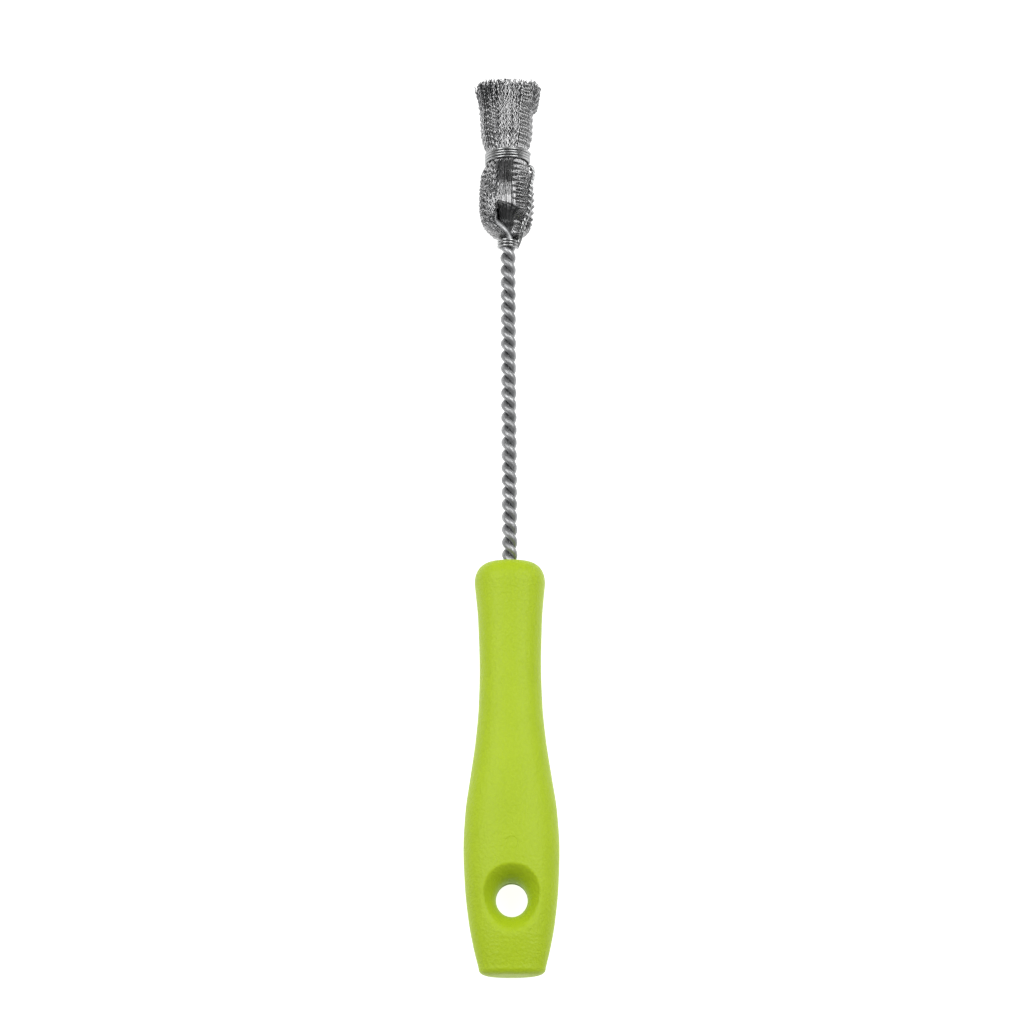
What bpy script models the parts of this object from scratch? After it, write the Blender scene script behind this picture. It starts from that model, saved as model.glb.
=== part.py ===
"""Wire grill brush, lying on its back: plastic handle, twisted wire shaft and a tied head of crimped wires.

The handle's butt is at -Y, the bristle tips at +Y, and the front of the brush faces +Z.
The origin is at the middle of the footprint, on the surface that the brush lies on.
All sizes are in millimetres; add_solid turns them to metres.
"""

import math

import bmesh
import bpy
import numpy as np

MM = 0.001

# Overall
BRUSH_LENGTH = 290.0        # butt to bristle tips
GAP = 0.3                   # between a piece and the piece that it is cut for

# Handle, a one-piece moulding
HANDLE_LENGTH = 131.0
HANDLE_WIDTH = 29.8         # at the palm swell
HANDLE_THICKNESS = 20.4     # at the palm swell
SECTION_SQUARENESS = 2.25   # superellipse exponent of a cross-section
BUTT_FLAT = (5.0, 3.0)      # half width and half height of the flat at the very end
BUTT_ROUNDING = 2.4         # length of the rounding round that flat
BUTT_SQUARENESS = 2.6       # superellipse exponent of that rounding
NOSE_FLAT = 4.8             # radius of the flat that the shaft comes out of
NOSE_ROUNDING = 6.5         # length of the rounding at the shaft end

# Outline of the handle between its end roundings: share of the length, of the half width and of the
# half thickness.
HANDLE_OUTLINE = (
    (0.018, 0.695, 0.560),
    (0.071, 0.805, 0.700),
    (0.129, 0.896, 0.815),
    (0.215, 0.973, 0.935),
    (0.302, 1.000, 0.993),
    (0.389, 0.960, 1.000),
    (0.477, 0.850, 0.955),
    (0.565, 0.738, 0.895),
    (0.653, 0.668, 0.855),
    (0.740, 0.646, 0.840),
    (0.860, 0.674, 0.870),
    (0.950, 0.743, 0.950),
)

# Hanging hole, flared like a trumpet to both faces
HOLE_FROM_BUTT = 23.1
HOLE_HALF_WIDTH = 5.05
HOLE_HALF_LENGTH = 5.35
HOLE_FLARE = 5.9            # how much wider it is where it meets the face
HOLE_FLARE_DEPTH = 8.7      # from mid-thickness to where HOLE_FLARE is reached

# Shaft, one wire folded in half and twisted
SHAFT_WIRE = 2.4            # wire diameter
STRAND_GAP = 0.14           # between its two strands
LAY_IN_WIRES = 3.4          # one full turn of the left-handed twist, in wire diameters
SHAFT_IN_HANDLE = 42.0
LAY_RUN_OUT = 3.0           # length over which the twist stops below the eye
EYE_HALF_WIDTH = 5.15       # wire centre to axis
EYE_CROWN = 4.55            # height of the eye's arch
EYE_SHOULDER = 6.2          # length over which the strands part
EYE_PLAY = 0.37             # between the eye's wire and the bristles folded through it

# Head, a hank of wires folded in half through the eye
HEAD_LENGTH = 50.5          # fold to tips
HEAD_TWIST = (17.0, -32.0)  # turn of the hank about the shaft, in degrees: at the fold and above it
HEAD_TWIST_LENGTH = 12.0
SHOULDER_RADIUS = 8.65
SHOULDER_LENGTH = 11.0
SHOULDER_SQUARENESS = 2.5   # superellipse exponent of the shoulder's rounding
NECK_RADIUS = 8.1
NECK_FROM_FOLD = 19.0
WAIST_RADIUS = 6.4
WAIST_FROM_FOLD = 25.7
SPLAY_RADIUS = 8.3
SPLAY_FROM_FOLD = 34.5
TIP_RADIUS = 10.2
FOLD_FLOOR = 0.3            # lowest bristles beside the eye, measured from the fold
HALVES_GAP = 0.3            # between the two halves of the hank above the eye
CLOSING = (1.0, 5.0)        # the halves close this far above the eye, over this length
DROOP_OUT = 3.0             # distance from the axis by which the lowest bristles have drooped
SPREAD_OUT = 3.5            # beyond the eye's wire, where the hank has spread to its full width
SPREAD_ALONG = 8.0          # or the length above its turn over which it spreads
TURN_SHARE = 0.3            # share of a wire's half that turns out of the eye
WAIST_SHARE = 0.62          # share at which it passes the waist
LOCK_COLUMNS = 6            # locks side by side across the eye
LOCK_GAP = 0.45             # between two locks, where the hank is narrowest
SIDE_LIMIT = 0.92           # where the outermost columns end, as a share of the half width

# Tie wires
TIE_WIRE = 0.8
TIE_PLAY = 0.15             # between a tie and what it binds
WAIST_TURNS = 4.0
WAIST_TURN_GAP = 0.07
WAIST_TIE_START = 100.0     # where its first turn starts, in degrees from the front
BASE_TURNS = 3.0
BASE_TURN_GAP = 0.12
BASE_FROM_FOLD = -1.5       # top turn, measured from the fold
PAIR_TWISTS = 6.3           # turns of the two ends that run up the side, twisted together
PAIR_STRAND_GAP = 0.08
PAIR_END_GAP = 1.2          # from their cut ends to the waist band
PAIR_SIDE = (50.0, 84.0)    # where they lie, in degrees from the front: at the base and above it
PAIR_INTO_COIL = 45.0       # degrees from there to the coil's start
PULL = (1.6, 2.6, 3.4)      # how far the wire runs on: into the coil, out of it, and into the pair

# Facets
HANDLE_SIDES = 32
WIRE_SIDES = 6

LIME_PLASTIC = ("lime_plastic", (0.45, 0.60, 0.045, 1.0), 0.55, 0.0)
BRIGHT_WIRE = ("bright_wire", (0.62, 0.62, 0.61, 1.0), 0.30, 1.0)
BRISTLE_WIRE = ("bristle_wire", (0.50, 0.50, 0.50, 1.0), 0.38, 1.0)

# Worked out from the above
BUTT_Y = -BRUSH_LENGTH / 2.0
TIP_Y = BRUSH_LENGTH / 2.0
FOLD_Y = TIP_Y - HEAD_LENGTH
NOSE_Y = BUTT_Y + HANDLE_LENGTH
AXIS_Z = max(HANDLE_THICKNESS / 2.0, TIP_RADIUS)
LAY = LAY_IN_WIRES * SHAFT_WIRE
STRAND_RADIUS = (SHAFT_WIRE + STRAND_GAP) / 2.0
SHAFT_RADIUS = STRAND_RADIUS + SHAFT_WIRE / 2.0
EYE_START = BASE_FROM_FOLD + GAP
EYE_CENTRE = EYE_START + EYE_SHOULDER
EYE_CLEARANCE = SHAFT_WIRE / 2.0 + EYE_PLAY
PASSAGE_HALF_WIDTH = EYE_HALF_WIDTH - EYE_CLEARANCE - EYE_PLAY
WAIST_TURN_PITCH = TIE_WIRE + WAIST_TURN_GAP
BASE_TURN_PITCH = TIE_WIRE + BASE_TURN_GAP
WAIST_BAND = WAIST_TURNS * WAIST_TURN_PITCH + TIE_WIRE
PAIR_START = BASE_FROM_FOLD + 2.5 * TIE_WIRE
PAIR_END = WAIST_FROM_FOLD - WAIST_BAND / 2.0 - PAIR_END_GAP


def smooth_step(value):
    """Rise smoothly from 0 to 1 as value goes from 0 to 1."""
    value = np.clip(value, 0.0, 1.0)
    return value * value * (3.0 - 2.0 * value)


def through_points(knots, values, at):
    """Read a smooth curve through (knots, values) that never overshoots a value."""
    knots = np.asarray(knots, dtype=float)
    values = np.asarray(values, dtype=float)
    steps = np.diff(values) / np.diff(knots)
    product = steps[:-1] * steps[1:]
    total = np.where(product > 0.0, steps[:-1] + steps[1:], 1.0)
    middle = np.where(product > 0.0, 2.0 * product / total, 0.0)
    slopes = np.concatenate([steps[:1], middle, steps[-1:]])
    index = np.clip(np.searchsorted(knots, at) - 1, 0, len(knots) - 2)
    span = knots[index + 1] - knots[index]
    t = np.clip((at - knots[index]) / span, 0.0, 1.0)
    start = (1.0 + 2.0 * t) * (1.0 - t) ** 2 * values[index]
    start_slope = t * (1.0 - t) ** 2 * span * slopes[index]
    end = t * t * (3.0 - 2.0 * t) * values[index + 1]
    end_slope = t * t * (t - 1.0) * span * slopes[index + 1]
    return start + start_slope + end + end_slope


def make_material(recipe):
    """Return the material of a (name, colour, roughness, metallic) recipe, made once."""
    name, colour, roughness, metallic = recipe
    material = bpy.data.materials.get(name)
    if material is None:
        material = bpy.data.materials.new(name)
        material.use_nodes = True
        shader = material.node_tree.nodes["Principled BSDF"]
        shader.inputs["Base Color"].default_value = colour
        shader.inputs["Roughness"].default_value = roughness
        shader.inputs["Metallic"].default_value = metallic
    return material


def add_solid(name, rings, recipe, sharp_angle=50.0):
    """Skin a stack of closed rings, close its two ends, and add it as an object.

    rings is an array of stations by points by (x, y, z) in millimetres.
    """
    stations, around = rings.shape[:2]
    mesh = bpy.data.meshes.new(name)
    body = bmesh.new()
    verts = [body.verts.new(point) for point in (rings.reshape(-1, 3) * MM).tolist()]
    for station in range(stations - 1):
        low = station * around
        high = low + around
        for side in range(around):
            after = (side + 1) % around
            body.faces.new((verts[low + side], verts[low + after], verts[high + after], verts[high + side]))
    body.faces.new(verts[:around][::-1])
    body.faces.new(verts[-around:])
    bmesh.ops.recalc_face_normals(body, faces=body.faces)
    body.to_mesh(mesh)
    body.free()
    mesh.shade_smooth()
    mesh.set_sharp_from_angle(angle=math.radians(sharp_angle))
    if recipe is not None:
        mesh.materials.append(make_material(recipe))
    solid = bpy.data.objects.new(name, mesh)
    bpy.context.scene.collection.objects.link(solid)
    return solid


def cut(solid, cutter):
    """Subtract a cutter from a solid with a Boolean that stays live."""
    cutter.hide_render = True
    cutter.display_type = "WIRE"
    modifier = solid.modifiers.new(cutter.name, "BOOLEAN")
    modifier.operation = "DIFFERENCE"
    modifier.solver = "EXACT"
    modifier.object = cutter


def tube_rings(path, sideways, radius, sides=WIRE_SIDES):
    """Carry a polygon along a path; a corner of it points along the sideways vectors."""
    tangent = np.gradient(path, axis=0)
    tangent /= np.linalg.norm(tangent, axis=1, keepdims=True)
    normal = sideways - np.sum(sideways * tangent, axis=1, keepdims=True) * tangent
    normal /= np.linalg.norm(normal, axis=1, keepdims=True)
    binormal = np.cross(tangent, normal)
    angle = np.linspace(0.0, 2.0 * math.pi, sides, endpoint=False)[None, :, None]
    offset = np.cos(angle) * normal[:, None, :] + np.sin(angle) * binormal[:, None, :]
    return path[:, None, :] + radius * offset


def around_axis(radius, turn, along):
    """Place points at a radius and a turn from the front toward +X, a way along from the fold."""
    return np.stack(
        [radius * np.sin(turn), FOLD_Y + along, AXIS_Z + radius * np.cos(turn)], axis=-1
    )


# ---------------------------------------------------------------- handle


def handle_half_sizes(distance):
    """Half width and half thickness of the handle, a distance from the butt."""
    share, width, thickness = np.array(HANDLE_OUTLINE).T
    at = distance / HANDLE_LENGTH
    half_width = through_points(share, width, at) * HANDLE_WIDTH / 2.0
    half_thickness = through_points(share, thickness, at) * HANDLE_THICKNESS / 2.0

    butt = np.clip(1.0 - distance / BUTT_ROUNDING, 0.0, 1.0)
    butt_rise = np.sqrt(1.0 - butt**BUTT_SQUARENESS)
    half_width = BUTT_FLAT[0] + (half_width - BUTT_FLAT[0]) * butt_rise
    half_thickness = BUTT_FLAT[1] + (half_thickness - BUTT_FLAT[1]) * butt_rise

    nose = np.clip(1.0 - (HANDLE_LENGTH - distance) / NOSE_ROUNDING, 0.0, 1.0)
    nose_rise = np.sqrt(1.0 - nose**2)
    half_width = NOSE_FLAT + (half_width - NOSE_FLAT) * nose_rise
    half_thickness = NOSE_FLAT + (half_thickness - NOSE_FLAT) * nose_rise
    return half_width, half_thickness


def superellipse(half_width, half_height, sides, squareness):
    """Points of a superellipse in x and z, one row for each pair of half sizes."""
    angle = np.linspace(0.0, 2.0 * math.pi, sides, endpoint=False)[None, :]
    across = np.sign(np.cos(angle)) * np.abs(np.cos(angle)) ** (2.0 / squareness)
    up = np.sign(np.sin(angle)) * np.abs(np.sin(angle)) ** (2.0 / squareness)
    return half_width[:, None] * across, half_height[:, None] * up


def add_handle():
    """The moulded handle, with its flared hanging hole and the socket that holds the shaft."""
    butt = BUTT_ROUNDING * (1.0 - np.cos(np.linspace(0.0, math.pi / 2.0, 5)))
    nose = HANDLE_LENGTH - NOSE_ROUNDING * (1.0 - np.cos(np.linspace(math.pi / 2.0, 0.0, 7)))
    swell = HANDLE_OUTLINE[4][0] * HANDLE_LENGTH
    rear = np.linspace(BUTT_ROUNDING, swell, 9)[1:]
    front = np.linspace(swell, HANDLE_LENGTH - NOSE_ROUNDING, 15)[1:-1]
    distance = np.concatenate([butt, rear, front, nose])

    half_width, half_thickness = handle_half_sizes(distance)
    across, up = superellipse(half_width, half_thickness, HANDLE_SIDES, SECTION_SQUARENESS)
    along = np.broadcast_to(BUTT_Y + distance[:, None], across.shape)
    rings = np.stack([across, along, AXIS_Z + up], axis=-1)
    handle = add_solid("handle", rings, LIME_PLASTIC, 40.0)
    cut(handle, add_hole_cutter())
    cut(handle, add_socket_cutter())
    return handle


def add_hole_cutter():
    """The hanging hole: a throat at mid-thickness that flares as the square of the height."""
    reach = HANDLE_THICKNESS / 2.0 + 1.0
    height = np.linspace(-reach, reach, 15)
    flare = HOLE_FLARE * (height / HOLE_FLARE_DEPTH) ** 2
    across, along = superellipse(HOLE_HALF_WIDTH + flare, HOLE_HALF_LENGTH + flare, HANDLE_SIDES, 2.0)
    up = np.broadcast_to(AXIS_Z + height[:, None], across.shape)
    rings = np.stack([across, BUTT_Y + HOLE_FROM_BUTT + along, up], axis=-1)
    return add_solid("hole_cutter", rings, None)


def add_socket_cutter():
    """The blind round socket that the twisted shaft is pressed into."""
    radius = SHAFT_RADIUS + GAP
    along = np.array([NOSE_Y - SHAFT_IN_HANDLE - SHAFT_WIRE / 2.0 - GAP, NOSE_Y + 1.0])
    across, up = superellipse(np.full(2, radius), np.full(2, radius), 20, 2.0)
    rings = np.stack([across, np.broadcast_to(along[:, None], across.shape), AXIS_Z + up], axis=-1)
    return add_solid("socket_cutter", rings, None)


# ---------------------------------------------------------------- shaft


def head_turn(along):
    """Turn of the hank about the shaft, in radians from the front toward +X, along from the fold."""
    first, last = np.radians(HEAD_TWIST)
    return first + (last - first) * smooth_step(along / HEAD_TWIST_LENGTH)


def shaft_turn(along):
    """Turn of the first strand: the hank's at the eye, then a left-handed twist down the shaft."""
    below = np.clip(EYE_START - along, 0.0, None)
    turned = np.where(below < LAY_RUN_OUT, below**2 / (2.0 * LAY_RUN_OUT), below - LAY_RUN_OUT / 2.0)
    return head_turn(along) + turned * 2.0 * math.pi / LAY


def eye_leg(along):
    """Distance of a strand from the axis where the two strands part below the eye."""
    return STRAND_RADIUS + (EYE_HALF_WIDTH - STRAND_RADIUS) * smooth_step((along - EYE_START) / EYE_SHOULDER)


def add_shaft():
    """One wire: up one strand, round the eye, and down the other strand."""
    tail = NOSE_Y - SHAFT_IN_HANDLE - FOLD_Y
    turns = (EYE_START - tail) / LAY
    twisted = np.linspace(tail, EYE_START, int(round(turns * 9.0)) + 1)
    leg = np.linspace(EYE_START, EYE_CENTRE, 7)[1:]
    up = np.concatenate([twisted, leg])
    arch = np.linspace(0.0, math.pi, 11)[1:-1]

    along = np.concatenate([up, EYE_CENTRE + EYE_CROWN * np.sin(arch), up[::-1]])
    out = np.concatenate([eye_leg(up), EYE_HALF_WIDTH * np.cos(arch), -eye_leg(up[::-1])])
    turn = shaft_turn(along)
    path = around_axis(out, turn, along)
    across_eye = np.stack([np.cos(turn), np.zeros_like(turn), -np.sin(turn)], axis=-1)
    rings = tube_rings(path, across_eye, SHAFT_WIRE / 2.0)
    return add_solid("shaft_wire", rings, BRIGHT_WIRE)


# ---------------------------------------------------------------- head


def head_radius(along):
    """Outer radius of the hank, along from the fold: shoulder, waist and splayed tips."""
    neck = WAIST_FROM_FOLD - WAIST_BAND / 2.0
    splay = WAIST_FROM_FOLD + WAIST_BAND / 2.0
    upper = np.array([SHOULDER_LENGTH, NECK_FROM_FOLD, neck, splay, SPLAY_FROM_FOLD, HEAD_LENGTH])
    radius = np.array(
        [SHOULDER_RADIUS, NECK_RADIUS, WAIST_RADIUS, WAIST_RADIUS, SPLAY_RADIUS, TIP_RADIUS]
    )
    shoulder = np.clip(1.0 - along / SHOULDER_LENGTH, 0.0, 1.0)
    low = SHOULDER_RADIUS * (1.0 - shoulder**SHOULDER_SQUARENESS) ** (1.0 / SHOULDER_SQUARENESS)
    return np.where(along < SHOULDER_LENGTH, low, through_points(upper, radius, along))


def eye_outline():
    """Centre line of one side of the eye, as distance from the axis and place along."""
    leg = np.linspace(EYE_START, EYE_CENTRE, 60)
    arch = np.linspace(0.0, math.pi / 2.0, 60)
    return (eye_leg(leg), leg), (EYE_HALF_WIDTH * np.cos(arch), EYE_CENTRE + EYE_CROWN * np.sin(arch))


def passage(out):
    """Lowest and highest place inside the eye, clear of its wire, at distances from the axis."""
    (leg_out, leg_along), (arch_out, arch_along) = eye_outline()
    beside_leg = np.clip(EYE_CLEARANCE**2 - (np.abs(out)[..., None] - leg_out) ** 2, 0.0, None)
    beside_arch = np.clip(EYE_CLEARANCE**2 - (np.abs(out)[..., None] - arch_out) ** 2, 0.0, None)
    low = np.max(np.where(beside_leg > 0.0, leg_along + np.sqrt(beside_leg), EYE_START), axis=-1)
    high = np.min(np.where(beside_arch > 0.0, arch_along - np.sqrt(beside_arch), 1.0e3), axis=-1)
    return low, high


def inner_face(along):
    """Half the gap between the hank's two halves: round the eye's wire, then closed above it."""
    above = EYE_CENTRE + EYE_CROWN + EYE_CLEARANCE + CLOSING[0]
    closed = smooth_step((along - above) / CLOSING[1])
    return EYE_CLEARANCE + (HALVES_GAP / 2.0 - EYE_CLEARANCE) * closed


def head_point(side, depth, place):
    """Map a place in the hank to millimetres.

    side runs from -1 to 1 along the eye's width, depth from 0 at the eye's wire to 1 at the hank's
    surface, and place from -1 to 1 along a wire: tip, fold at 0, and tip. A wire passes through the
    eye, turns up on a quarter of an ellipse until TURN_SHARE, and then follows the hank's profile,
    with the waist at WAIST_SHARE.
    """
    half = np.abs(place)
    crown = np.sqrt(1.0 - side**2)
    low, high = passage(side * PASSAGE_HALF_WIDTH)
    start = low + (1.0 - depth) * (high - low)
    rise = EYE_CLEARANCE + (SHOULDER_LENGTH - EYE_CLEARANCE) * depth * crown
    droop = depth * (low - FOLD_FLOOR) * crown
    end = start + rise - droop

    def surface(along):
        inner = inner_face(along)
        radius = head_radius(along)
        width = np.sqrt(radius**2 - inner**2)
        return inner + depth * (np.sqrt(radius**2 - (side * width) ** 2) - inner), width

    end_out, end_width = surface(end)
    angle = np.clip(half / TURN_SHARE, 0.0, 1.0) * math.pi / 2.0
    turn_out = end_out * np.sin(angle)
    turn_along = start + rise * (1.0 - np.cos(angle)) - droop * smooth_step(turn_out / DROOP_OUT)

    to_waist = np.clip((half - TURN_SHARE) / (WAIST_SHARE - TURN_SHARE), 0.0, 1.0)
    to_tip = np.clip((half - WAIST_SHARE) / (1.0 - WAIST_SHARE), 0.0, 1.0)
    last = turn_along + (WAIST_FROM_FOLD - turn_along) * to_waist
    last = last + (HEAD_LENGTH - WAIST_FROM_FOLD) * to_tip
    straight_out, straight_width = surface(last)
    turning = half <= TURN_SHARE
    out = np.where(turning, turn_out, straight_out)
    along = np.where(turning, turn_along, last)
    width = np.where(turning, end_width, straight_width)

    past_wire = smooth_step((out - EYE_CLEARANCE) / SPREAD_OUT)
    past_turn = smooth_step((along - end) / SPREAD_ALONG)
    spread = 1.0 - (1.0 - past_wire) * (1.0 - past_turn)
    across = side * (PASSAGE_HALF_WIDTH + (width - PASSAGE_HALF_WIDTH) * spread)
    out = out * np.where(place < 0.0, -1.0, 1.0)
    turn = head_turn(along)
    x = across * np.sin(turn) + out * np.cos(turn)
    z = across * np.cos(turn) - out * np.sin(turn)
    return np.stack([x, FOLD_Y + along, AXIS_Z + z], axis=-1)


def lock_stations():
    """Places along a lock: round the turn, up to the waist, flat across its band, and to the tip."""
    band = WAIST_BAND / 2.0 / (HEAD_LENGTH - WAIST_FROM_FOLD) * (1.0 - WAIST_SHARE)
    turning = np.linspace(0.0, TURN_SHARE, 8)
    rising = np.linspace(TURN_SHARE, WAIST_SHARE - 1.5 * band, 6)[1:]
    splaying = np.linspace(WAIST_SHARE + band, 1.0, 4)
    half = np.concatenate([turning, rising, [WAIST_SHARE], splaying])
    return np.concatenate([-half[:0:-1], half])[:, None]


def add_lock(name, sides, depths):
    """One lock of bristle wires, folded through the eye, within a range of sides and depths.

    A range ends half a gap short of the next lock's, measured where the hank is narrowest.
    """
    place = lock_stations()
    opened = smooth_step(np.abs(place) / TURN_SHARE)
    side_room = PASSAGE_HALF_WIDTH + (WAIST_RADIUS - PASSAGE_HALF_WIDTH) * opened
    inset = LOCK_GAP / 2.0 / side_room
    first = sides[0] + inset
    last = sides[1] - inset
    middle = (first + last) / 2.0
    side = np.concatenate([first, middle, last, last, middle, first], axis=1)

    low, high = passage(side * PASSAGE_HALF_WIDTH)
    depth_room = high - low + (WAIST_RADIUS * np.sqrt(1.0 - side**2) - high + low) * opened
    inset = LOCK_GAP / 2.0 / depth_room
    depth = np.concatenate([depths[0] + inset[:, :3], depths[1] - inset[:, 3:]], axis=1)
    return add_solid(name, head_point(side, depth, place), BRISTLE_WIRE, 60.0)


def add_locks():
    """All the locks, numbered by layer from the eye outward and then by column."""
    layer_names = ("inner", "middle", "outer")
    columns = SIDE_LIMIT * np.linspace(-1.0, 1.0, LOCK_COLUMNS + 1)
    layers = np.linspace(0.0, 1.0, len(layer_names) + 1)
    for layer, layer_name in enumerate(layer_names):
        for column in range(LOCK_COLUMNS):
            name = f"bristle_lock_{layer_name}_{column + 1}"
            add_lock(name, columns[column:column + 2], layers[layer:layer + 2])


# ---------------------------------------------------------------- ties


def add_waist_tie():
    """The band of wire that gathers the hank at its waist."""
    radius = WAIST_RADIUS + TIE_PLAY + TIE_WIRE / 2.0
    turn = np.linspace(0.0, 2.0 * math.pi * WAIST_TURNS, int(22 * WAIST_TURNS) + 1)
    rise = (turn / (2.0 * math.pi) - WAIST_TURNS / 2.0) * WAIST_TURN_PITCH
    path = around_axis(radius, math.radians(WAIST_TIE_START) + turn, WAIST_FROM_FOLD + rise)
    outward = path - np.array([0.0, 0.0, AXIS_Z])
    outward[:, 1] = 0.0
    return add_solid("waist_tie_wire", tube_rings(path, outward, TIE_WIRE / 2.0), BRIGHT_WIRE)


def hermite(start, start_slope, end, end_slope, count):
    """Points of a cubic between two ends with given slopes, both ends left out."""
    t = np.linspace(0.0, 1.0, count + 2)[1:-1, None]
    return (
        (1.0 + 2.0 * t) * (1.0 - t) ** 2 * start
        + t * (1.0 - t) ** 2 * start_slope
        + t * t * (3.0 - 2.0 * t) * end
        + t * t * (t - 1.0) * end_slope
    )


def pair_strand(sign):
    """One of the two twisted ends, from the base up to the waist, and its sideways vectors."""
    along = np.linspace(PAIR_START, PAIR_END, int(PAIR_TWISTS * 8.0) + 1)
    first, last = np.radians(PAIR_SIDE)
    side = first + (last - first) * smooth_step((along - PAIR_START) / SHOULDER_LENGTH)
    off_surface = TIE_WIRE + PAIR_STRAND_GAP + TIE_PLAY
    base_radius = SHAFT_RADIUS + TIE_PLAY + 2.0 * TIE_WIRE + TIE_PLAY
    radius = np.maximum(head_radius(along) + off_surface, base_radius)
    centre = around_axis(radius, side, along)
    forward = np.gradient(centre, axis=0)
    forward /= np.linalg.norm(forward, axis=1, keepdims=True)
    outward = around_axis(1.0, side, 0.0 * along) - around_axis(0.0, side, 0.0 * along)
    outward -= np.sum(outward * forward, axis=1, keepdims=True) * forward
    outward /= np.linalg.norm(outward, axis=1, keepdims=True)
    sideways = np.cross(forward, outward)
    twist = np.linspace(0.0, -2.0 * math.pi * PAIR_TWISTS, len(along))[:, None]
    away = np.cos(twist) * outward + np.sin(twist) * sideways
    across = -np.sin(twist) * outward + np.cos(twist) * sideways
    reach = (TIE_WIRE + PAIR_STRAND_GAP) / 2.0
    return centre + sign * reach * away, across


def add_base_tie():
    """The wire that binds the hank's foot: one end down, three turns, and the other end back up."""
    radius = SHAFT_RADIUS + TIE_PLAY + TIE_WIRE / 2.0
    first = math.radians(PAIR_SIDE[0] + PAIR_INTO_COIL)
    turn = np.linspace(0.0, 2.0 * math.pi * (BASE_TURNS - 0.25), int(16 * BASE_TURNS) + 1)
    drop = BASE_FROM_FOLD - turn / (2.0 * math.pi) * BASE_TURN_PITCH
    coil = around_axis(radius, first + turn, drop)
    coil_out = coil - around_axis(0.0, first + turn, drop)

    near, near_across = pair_strand(-1.0)
    far, far_across = pair_strand(1.0)
    near = near[::-1]
    near_across = near_across[::-1]
    into = hermite(
        near[-1], PULL[0] * unit(near[-1] - near[-2]), coil[0], PULL[0] * unit(coil[1] - coil[0]), 4
    )
    out_of = hermite(
        coil[-1], PULL[1] * unit(coil[-1] - coil[-2]), far[0], PULL[2] * unit(far[1] - far[0]), 7
    )
    path = np.concatenate([near, into, coil, out_of, far])
    sideways = np.concatenate(
        [
            near_across,
            blend(near_across[-1], coil_out[0], 4),
            coil_out,
            blend(coil_out[-1], far_across[0], 7),
            far_across,
        ]
    )
    return add_solid("base_tie_wire", tube_rings(path, sideways, TIE_WIRE / 2.0), BRIGHT_WIRE)


def unit(vector):
    """The vector at length 1."""
    return vector / np.linalg.norm(vector)


def blend(first, last, count):
    """Directions between two directions, both left out."""
    t = np.linspace(0.0, 1.0, count + 2)[1:-1, None]
    return (1.0 - t) * unit(first) + t * unit(last)


def main():
    """Clear the scene and build the brush."""
    for leftover in list(bpy.data.objects):
        bpy.data.objects.remove(leftover)
    add_handle()
    add_shaft()
    add_locks()
    add_waist_tie()
    add_base_tie()


main()
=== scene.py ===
"""Looks of a wire grill brush: grained lime handle, twisted wire shaft and a tied hank of crimped wires.

Every shape is worked out in millimetres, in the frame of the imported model, and turned to metres when
its mesh is made. The brush lies on its back: butt at -Y, bristle tips at +Y, front face up.
"""

import logging
import math
from dataclasses import dataclass, field
from enum import Enum
from typing import Sequence

import bpy
import numpy as np
from mathutils import Matrix, Vector


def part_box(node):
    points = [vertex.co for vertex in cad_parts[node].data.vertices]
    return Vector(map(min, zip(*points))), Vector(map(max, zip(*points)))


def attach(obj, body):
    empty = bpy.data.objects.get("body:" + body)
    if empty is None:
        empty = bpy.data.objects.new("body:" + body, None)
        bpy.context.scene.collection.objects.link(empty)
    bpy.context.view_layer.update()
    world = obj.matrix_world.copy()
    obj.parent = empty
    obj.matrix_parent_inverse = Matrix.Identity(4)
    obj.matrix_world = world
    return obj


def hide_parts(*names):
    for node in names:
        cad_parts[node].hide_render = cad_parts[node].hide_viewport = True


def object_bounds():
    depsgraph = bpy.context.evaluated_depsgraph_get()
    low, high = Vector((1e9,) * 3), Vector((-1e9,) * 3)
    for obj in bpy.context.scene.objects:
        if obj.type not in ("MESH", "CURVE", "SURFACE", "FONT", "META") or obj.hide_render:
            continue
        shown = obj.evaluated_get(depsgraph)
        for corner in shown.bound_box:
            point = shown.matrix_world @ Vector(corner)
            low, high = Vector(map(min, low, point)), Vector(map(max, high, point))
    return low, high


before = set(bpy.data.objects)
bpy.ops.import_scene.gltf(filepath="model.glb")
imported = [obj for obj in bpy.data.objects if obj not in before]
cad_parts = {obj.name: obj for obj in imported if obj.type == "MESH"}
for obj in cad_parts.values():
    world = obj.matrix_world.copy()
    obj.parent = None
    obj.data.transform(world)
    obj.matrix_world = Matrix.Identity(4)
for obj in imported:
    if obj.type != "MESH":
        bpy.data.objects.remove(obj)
CAD_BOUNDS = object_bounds()

LOG = logging.getLogger("grill_brush")
MM = 0.001
TAU = 2.0 * math.pi
Array = np.ndarray


# ---------------------------------------------------------------- curves and meshes


def smooth_step(value: Array) -> Array:
    """Rise smoothly from 0 to 1 as value goes from 0 to 1: three squares less two cubes.

    Args:
        value: Any numbers; those outside 0 to 1 are clipped.

    Returns:
        The smoothed numbers.
    """
    value = np.clip(value, 0.0, 1.0)
    return value * value * (3.0 - 2.0 * value)


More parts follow.
